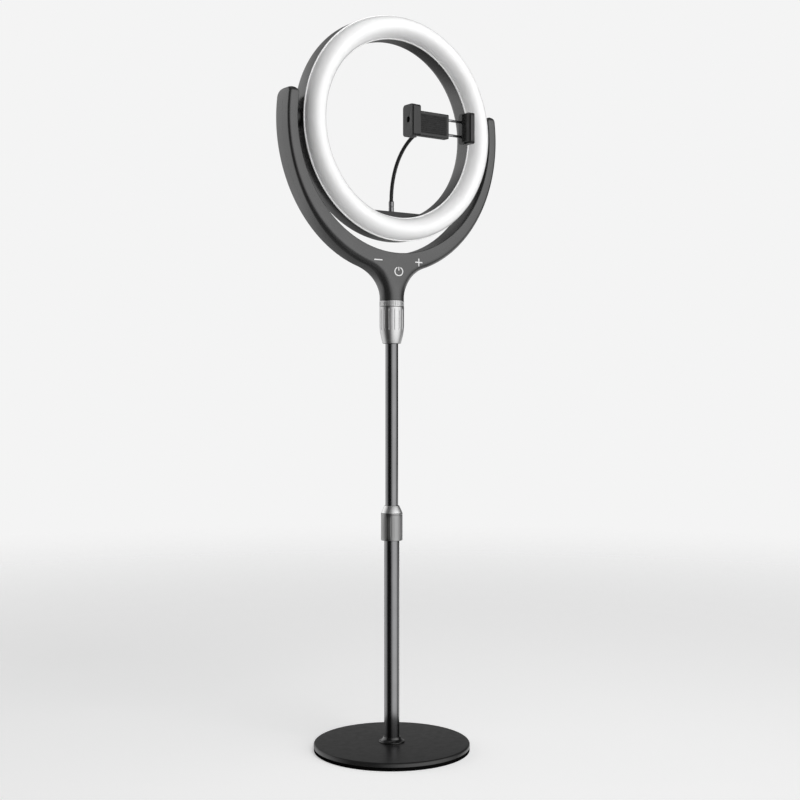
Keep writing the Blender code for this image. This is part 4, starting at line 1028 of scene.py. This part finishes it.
def make_shelf():
    """The lens-shaped plate across the foot of the hole, and the neck's ferrule on it."""
    bottom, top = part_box("holder_shelf")
    radius = 102.6 * MM
    half_angle = math.degrees(math.acos((RING_Z - top.z) / radius))
    outline = arc((0, RING_Z), radius, -90 - half_angle, -90 + half_angle, 64)
    shelf = make_mesh("holder_shelf_fine", add_extruded(bmesh.new(), outline, bottom.y, top.y))
    settle(soften(shelf, 0.6 * MM, 4))
    axis = Matrix.Translation((NECK_START.x, NECK_START.y, 0))
    carve(shelf, add_stepped(bmesh.new(), axis, (621, 630), (2,)))
    finish_piece(shelf, "holder_shelf")

    seat = low("neck_ferrule").z
    crest = high("neck_ferrule").z
    deck = top.z + GAP
    ferrule = [(0, crest, 0), (2.6 * MM, crest, 0.3 * MM), (3.1 * MM, crest - 1.4 * MM, 0.3 * MM),
               (3.1 * MM, crest - 6.5 * MM, 0.1 * MM), (2.85 * MM, crest - 6.8 * MM, 0),
               (2.85 * MM, crest - 7.4 * MM, 0), (3.1 * MM, crest - 7.7 * MM, 0.1 * MM),
               (3.1 * MM, deck, 0.2 * MM), (1.7 * MM, deck, 0), (1.7 * MM, seat, 0), (0, seat, 0)]
    fine_turned("neck_ferrule", ferrule, axis, 64)


# ---------------------------------------------------------------- gooseneck

def neck_point(angle):
    """The gooseneck's centre line: up from the shelf, then forward into the ball."""
    reach = BALL_CENTRE - NECK_START
    forward = 1.7 * (1 - math.cos(angle)) - 0.7 * math.sin(angle) ** 2
    share = Vector((math.sin(angle) ** 2, forward, math.sin(angle)))
    return NECK_START + Vector((reach.x * share.x, reach.y * share.y, reach.z * share.z))


def even_line(start, end, spacing):
    """Points at one spacing along the centre line between two of its angles."""
    fine_steps = 4000
    points = [neck_point(start)]
    travelled = 0.0
    before = points[0]
    for step in range(1, fine_steps + 1):
        here = neck_point(start + (end - start) * step / fine_steps)
        travelled += (here - before).length
        before = here
        if travelled >= spacing:
            points.append(here)
            travelled -= spacing
    return points


def make_gooseneck():
    """A spiral-wound tube in two lengths, each of which bends at one joint."""
    rows = 6
    base = 2.12 * MM
    ridge = 0.22 * MM
    spacing = 1.5 * MM / rows
    split = math.radians(34)
    lower = even_line(0.0, split, spacing)
    upper = even_line(split, math.radians(79.6), spacing)
    upper[0] = lower[-1]

    def wound(offset):
        def radius_at(index, angle):
            phase = 2 * math.pi * (index + offset) / rows - angle
            return base + ridge * (0.5 + 0.5 * math.cos(phase)) ** 0.6 * 2 - ridge
        return radius_at

    lengths = (
        ("gooseneck_lower_fine", lower, wound(0), "gooseneck_sway", ("ring", "gooseneck_middle"),
         ("gooseneck_lower",)),
        ("gooseneck_upper_fine", upper, wound(len(lower) - 1), "gooseneck_nod",
         ("gooseneck_middle", "gooseneck_end"), ("gooseneck_middle", "gooseneck_upper")),
    )
    half_bend = 11 * MM
    for name, line, radius_at, joint, bodies, nodes in lengths:
        tube = make_mesh(name, new_swept(line, radius_at, 24), 60)
        tube.data.materials.append(MATERIALS["gooseneck_skin"])
        pivot = JOINTS[joint]
        nearest = min(range(len(line)), key=lambda index: (line[index] - pivot).length)
        along = (line[min(nearest + 4, len(line) - 1)] - line[nearest - 4]).normalized()
        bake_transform(tube, *bodies, start=pivot - along * half_bend, end=pivot + along * half_bend)
        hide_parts(*nodes)

    place = axis_frame(BALL_CENTRE, -TOWARDS_FRONT)
    cap = mm((2.1, 8.6, 0), (2.7, 8.6, 0.3), (3.0, 10, 0.3), (3.0, 14.5, 0.5), (2.62, 14.5, 0.1),
             (2.62, 11.7, 0), (2.1, 11.7, 0))
    collar = extra("gooseneck_end_cap", add_turned(bmesh.new(), rounded(cap, 0.1 * MM), place, 48),
                   "black_plastic", BODIES["ball_stud"])

    ball_radius = 5.2 * MM
    stem = 2 * MM
    root = math.degrees(math.asin(stem / ball_radius))
    ball = [(r, h) for h, r in arc((0, 0), ball_radius, root, 180, 24)[:-1]]
    stud = [(0, 11.5 * MM), (stem, 11.5 * MM), *ball, (0, -ball_radius)]
    fine("ball_stud", add_turned(bmesh.new(), stud, place, 64))


# ---------------------------------------------------------------- phone clamp

def make_ball_socket():
    """Cup and knurled lock nut that hold the ball, on one axis towards the front."""
    place = axis_frame(BALL_CENTRE, TOWARDS_FRONT)
    cavity = 5.5 * MM
    cup = [(0, cavity, 0)] + [(r, h, 0) for r, h in arc((0, 0), cavity, 90, 0, 16)[1:]]
    cup += mm((5.5, -2.9, 0), (8, -2.9), (8, 7.2, 0.7), (3.5, 7.2, 0), (3.5, 13), (1.5, 13, 0),
              (1.5, 8, 0), (0, 8, 0))
    fine_turned("ball_cup", cup, place, 72)

    outer = 9.8 * MM
    nut = mm((8.3, 3.5, 0), (8.3, -3.2, 0), (4.4, -3.8, 0), (4.4, -5), (8.6, -5.2, 0.6), (9.8, -4, 0.3))
    nut += [(outer, -3 * MM + 5.4 * MM * row / 8, 0) for row in range(9)] + mm((9.8, 3.5, 0.5))
    grip = ribs(24, 0.5 * MM, -3.1 * MM, 2.5 * MM, 0.55, 1.2 * MM, outer - 0.05 * MM)
    fine_turned("ball_lock_nut", nut, place, 288, pull=grip)


def jaw_outline(side, outer_x, wall, lip, flange, rest_y):
    """Plan of a jaw: outer wall with a front lip and a rear flange. Side +1 faces -X."""
    back = high("clamp_body").y
    front = low("clamp_body").y
    corner = 2.6 * MM
    centre = (outer_x - side * corner, front + corner)
    points = [(outer_x, back)]
    points += arc(centre, corner, 0 if side > 0 else 180, -90 if side > 0 else 270, 14)
    nose = 1.8 * MM
    points += [(outer_x - side * lip, front), (outer_x - side * lip, front + nose)]
    points += [(outer_x - side * wall, front + nose), (outer_x - side * wall, rest_y + GAP)]
    points += [(outer_x - side * flange, rest_y + GAP), (outer_x - side * flange, back)]
    return points


def jaw_side_guide():
    """The jaws' outline seen from the side, with rounded corners, right across the clamp."""
    bottom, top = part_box("clamp_body")
    corner = 4 * MM
    outline = []
    for y, z, start in ((top.y - corner, top.z - corner, 90), (bottom.y + corner, top.z - corner, 180),
                        (bottom.y + corner, bottom.z + corner, 270),
                        (top.y - corner, bottom.z + corner, 360)):
        outline += arc((y, z), corner, start - 90, start, 14)
    margin = 5 * MM
    return add_extruded(bmesh.new(), outline, bottom.x - margin, high("clamp_jaw_right").x + margin, "YZ")


def new_jaw(node, side, outer_x, wall, lip, flange):
    outline = jaw_outline(side, outer_x, wall * MM, lip * MM, flange * MM, PHONE_REST_Y)
    bm = add_extruded(bmesh.new(), outline, low(node).z, high(node).z, "XY")
    jaw = make_mesh(f"{node}_fine", bm)
    carve(jaw, jaw_side_guide(), "INTERSECT")
    return jaw


def make_clamp_body():
    bottom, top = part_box("clamp_body")
    body = new_jaw("clamp_body", -1, bottom.x, 5, 10.4, 12)
    half_height = 14 * MM
    block = new_box((bottom.x + 6.3 * MM, PHONE_REST_Y + 0.6 * MM, BALL_CENTRE.z - half_height),
                    (top.x, top.y - 0.2 * MM, BALL_CENTRE.z + half_height))
    carve(body, take_mesh(settle(soften(make_mesh("clamp_block", block), 1.2 * MM, 5))), "UNION")

    bores = bmesh.new()
    for place in ROD_FRAMES.values():
        add_stepped(bores, place, (-10, 36.5, 45), (3.1, 1.8))
    add_stepped(bores, axis_frame(BALL_CENTRE, TOWARDS_FRONT), (4, 13.5, 14.7, 20), (3.8, 1.5, 3.5))
    recess = axis_frame((0, -58 * MM, middle("jaw_screw", Z)), (-1, 0, 0))
    add_stepped(bores, recess, (14.6, 17, 20), (1.5, 3.4))
    carve(body, bores)
    finish_piece(soften(body, 0.3 * MM, 2, 50), "clamp_body", "clamp_plastic")

    make_back_pad()
    fine("jaw_pad_left", new_box(*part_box("jaw_pad_left")), edge=0.3 * MM)
    make_cross_screw("clamp_spin_screw", 3.2 * MM, "steel")
    make_cross_screw("jaw_screw", 2.8 * MM, "black_steel")


def make_back_pad():
    """The soft pad that the phone leans on: a plate with raised ribs."""
    bottom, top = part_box("clamp_back_pad")
    across = (bottom.x, bottom.x + 1.5 * MM, top.x - 1.5 * MM, top.x)
    pad = new_relief(across, cell_lines(bottom.z, top.z, 9, 0.25, 0.75),
                     (bottom.y, bottom.y + 0.3 * MM, top.y), lambda level, x, z: (x, level, z))
    fine("clamp_back_pad", pad, edge=0.12 * MM)


def make_studded_pad():
    """The moving jaw's grip: a plate with a grid of small square studs towards the phone."""
    bottom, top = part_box("jaw_pad_right")
    pad = new_relief(cell_lines(bottom.y, top.y, 5, 0.18, 0.82), cell_lines(bottom.z, top.z, 20, 0.15, 0.85),
                     (bottom.x, bottom.x + 1.0 * MM, top.x), lambda level, y, z: (level, y, z))
    fine("jaw_pad_right", pad, edge=0.1 * MM)


def make_sliding_jaw():
    jaw = new_jaw("clamp_jaw_right", 1, high("clamp_jaw_right").x, 6.8, 6.9, 9)
    bores = bmesh.new()
    for place in ROD_FRAMES.values():
        add_stepped(bores, place, (55, 67), (1.8,))
    carve(jaw, bores)
    finish_piece(soften(jaw, 0.3 * MM, 2, 50), "clamp_jaw_right", "clamp_plastic")
    make_studded_pad()

    for name, place in ROD_FRAMES.items():
        start, end = low(f"guide_rod_{name}").x, high(f"guide_rod_{name}").x
        head = start + 1.5 * MM
        rod = [(0, end, 0), (1.5 * MM, end), (1.5 * MM, head, 0), (2.7 * MM, head, 0.2 * MM),
               (2.7 * MM, start), (0, start, 0)]
        fine_turned(f"guide_rod_{name}", rod, place, 48)
        make_spring(f"jaw_spring_{name}", Vector((0, ROD_Y, middle(f"guide_rod_{name}", Z))))


def make_spring(node, axis_point):
    """A spring whose far end stays with the clamp's body while its near end follows the jaw."""
    bottom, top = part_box(node)
    wire = 0.32 * MM
    coil = 2.3 * MM
    per_turn = 20
    steps = 11 * per_turn
    centres = []
    for step in range(steps + 1):
        angle = 2 * math.pi * step / per_turn
        x = bottom.x + wire + (top.x - bottom.x - 2 * wire) * step / steps
        centres.append(axis_point + Vector((x, coil * math.cos(angle), coil * math.sin(angle))))
    spring = make_mesh(f"{node}_fine", new_swept(centres, lambda index, angle: wire, 8), 60)
    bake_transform(spring, "sliding_jaw", "clamp", start=axis_point + Vector((bottom.x, 0, 0)),
             end=axis_point + Vector((top.x, 0, 0)))
    finish_piece(spring, node)


# ---------------------------------------------------------------- what stays as packed

def dress_packed_nodes():
    """Nodes that are shown as packed get their finish and slightly softened edges."""
    for node, obj in frame["nodes"].items():
        obj.data.materials.clear()
        obj.data.materials.append(MATERIALS[SLOTS[node]])
        if not obj.hide_render:
            soften(obj, 0.15 * MM, 2, 50)


# ---------------------------------------------------------------- stage, light and camera

CAMERA_TURN = math.radians(-36.14)
CAMERA_DISTANCE = 1.533
CAMERA_HEIGHT = 0.4205
CAMERA_SIDESTEP = 0.0096

FLOOR_SIZE = 6.0
FLOOR_GLOW = 0.42
BACKDROP = 0.905
SOFTBOX = 1.52
SHADE = 0.02
# each box: bearing in degrees, dot products where its edge starts and is full, and brightness
BOXES = (
    (-79, 0.48, 0.96, 1.03),
    (116, 0.6, 0.97, 0.7),
    (54, 0.75, 1.0, 0.14),
)
LOW_BOX = (18, 0.82, 0.97, 0.6)


def make_camera():
    data = bpy.data.cameras.new("camera")
    data.sensor_width = 36
    data.lens = 59.1
    data.shift_y = -0.0141
    camera = add_object("camera", data)
    forward = Vector((-math.sin(CAMERA_TURN), math.cos(CAMERA_TURN), 0))
    right = Vector((forward.y, -forward.x, 0))
    camera.location = right * CAMERA_SIDESTEP - forward * CAMERA_DISTANCE + Vector((0, 0, CAMERA_HEIGHT))
    camera.rotation_euler = (math.radians(90), 0, CAMERA_TURN)
    bpy.context.scene.camera = camera


def make_floor():
    """A pale floor that fades into the backdrop's tone away from the object."""
    bm = bmesh.new()
    corners = ((-1, -1), (1, -1), (1, 1), (-1, 1))
    bm.faces.new([bm.verts.new((x * FLOOR_SIZE, y * FLOOR_SIZE, 0)) for x, y in corners])
    mesh = bpy.data.meshes.new("floor")
    bm.to_mesh(mesh)
    bm.free()
    floor = add_object("floor", mesh)
    floor.location.z = -0.2 * MM
    material = bpy.data.materials.new("pale_floor")
    material.use_nodes = True
    tree = material.node_tree
    shader = tree.nodes["Principled BSDF"]
    plain = {"Base Color": (0.8, 0.8, 0.8, 1), "Roughness": 0.7, SPECULAR: 0.1,
             "Emission Color": (1, 1, 1, 1), "Emission Strength": FLOOR_GLOW}
    for socket, value in plain.items():
        shader.inputs[socket].default_value = value
    spot = tree.nodes.new("ShaderNodeTexCoord").outputs["Object"]
    distance = add_node(tree, "ShaderNodeVectorMath", {0: spot}, operation="LENGTH").outputs["Value"]
    fade = map_range(tree, distance, 0.5, 2.6, 0, 1, "SMOOTHSTEP")
    clear = tree.nodes.new("ShaderNodeBsdfTransparent").outputs["BSDF"]
    mix = add_node(tree, "ShaderNodeMixShader", {"Fac": fade, 1: shader.outputs["BSDF"], 2: clear})
    tree.links.new(mix.outputs["Shader"], tree.nodes["Material Output"].inputs["Surface"])
    mesh.materials.append(material)
    floor.visible_glossy = False
    floor.visible_diffuse = False
    floor.visible_shadow = False


def make_world():
    """Wide soft boxes round the object and a low one, with a dark gap overhead and a faint top."""
    world = bpy.data.worlds.new("studio")
    bpy.context.scene.world = world
    world.use_nodes = True
    tree = world.node_tree

    def maths(operation, *sources):
        node = add_node(tree, "ShaderNodeMath", dict(enumerate(sources)), operation=operation)
        return node.outputs["Value"]

    def vector_maths(operation, *sources):
        node = add_node(tree, "ShaderNodeVectorMath", dict(enumerate(sources)), operation=operation)
        return node.outputs["Value" if operation == "DOT_PRODUCT" else "Vector"]

    def ramp(source, start, end, lowest, highest):
        return map_range(tree, source, start, end, lowest, highest, "SMOOTHSTEP")

    towards = vector_maths("NORMALIZE", tree.nodes.new("ShaderNodeTexCoord").outputs["Generated"])
    level = vector_maths("NORMALIZE", vector_maths("MULTIPLY", towards, (1, 1, 0)))
    rise = add_node(tree, "ShaderNodeSeparateXYZ", {"Vector": towards}).outputs["Z"]

    def soft_box(bearing, faint, full, share):
        angle = math.radians(bearing)
        facing = vector_maths("DOT_PRODUCT", level, (math.cos(angle), math.sin(angle), 0))
        return map_range(tree, facing, faint, full, 0, share)

    glow = maths("MULTIPLY", soft_box(*LOW_BOX), ramp(rise, -0.14, -0.02, 1.0, 0.0))
    for box in BOXES:
        glow = maths("MAXIMUM", glow, soft_box(*box))
    glow = maths("MULTIPLY", glow, ramp(rise, 0.42, 0.78, 1.0, 0.08))
    glow = maths("MULTIPLY", glow, ramp(rise, -0.7, -0.35, 0.1, 1.0))
    glow = maths("MAXIMUM", glow, ramp(rise, 0.9, 0.99, 0.0, 0.15))
    seen = tree.nodes.new("ShaderNodeLightPath").outputs["Is Camera Ray"]
    inputs = {"A": map_range(tree, glow, 0, 1, SHADE, SOFTBOX), "B": BACKDROP, "Factor": seen}
    background = tree.nodes["Background"].inputs
    background["Color"].default_value = (1, 1, 1, 1)
    tree.links.new(add_node(tree, "ShaderNodeMix", inputs).outputs["Result"], background["Strength"])


def make_soft_light(name, place, size, power):
    """A disc that lights the object evenly but adds no highlight of its own."""
    data = bpy.data.lights.new(name, "AREA")
    data.shape = "DISK"
    data.size = size
    data.energy = power
    light = add_object(name, data)
    light.location = place
    light.rotation_euler = (Vector((0, 0, 0.7)) - Vector(place)).to_track_quat("-Z", "Y").to_euler()
    light.visible_glossy = False
    light.visible_camera = False


bpy.context.scene.view_settings.view_transform = "Standard"
make_camera()
make_world()
make_soft_light("top_light", (0.05, -0.3, 1.5), 0.6, 2.1)
make_soft_light("key_light", (0.1, -0.95, 1.5), 0.7, 6.7)
make_soft_light("fill_light", (0.0, -0.6, -0.35), 1.2, 7.4)
make_floor()
make_materials()
make_base()
make_tube("lower_tube", 1.2 * MM)
make_tube("upper_tube", 1 * MM)
make_collar()
make_neck_nut()
make_neck_ring()
make_yoke()
make_diffuser_ring()
make_ring_shell()
make_pivots()
make_shelf()
make_gooseneck()
make_ball_socket()
make_clamp_body()
make_sliding_jaw()
dress_packed_nodes()
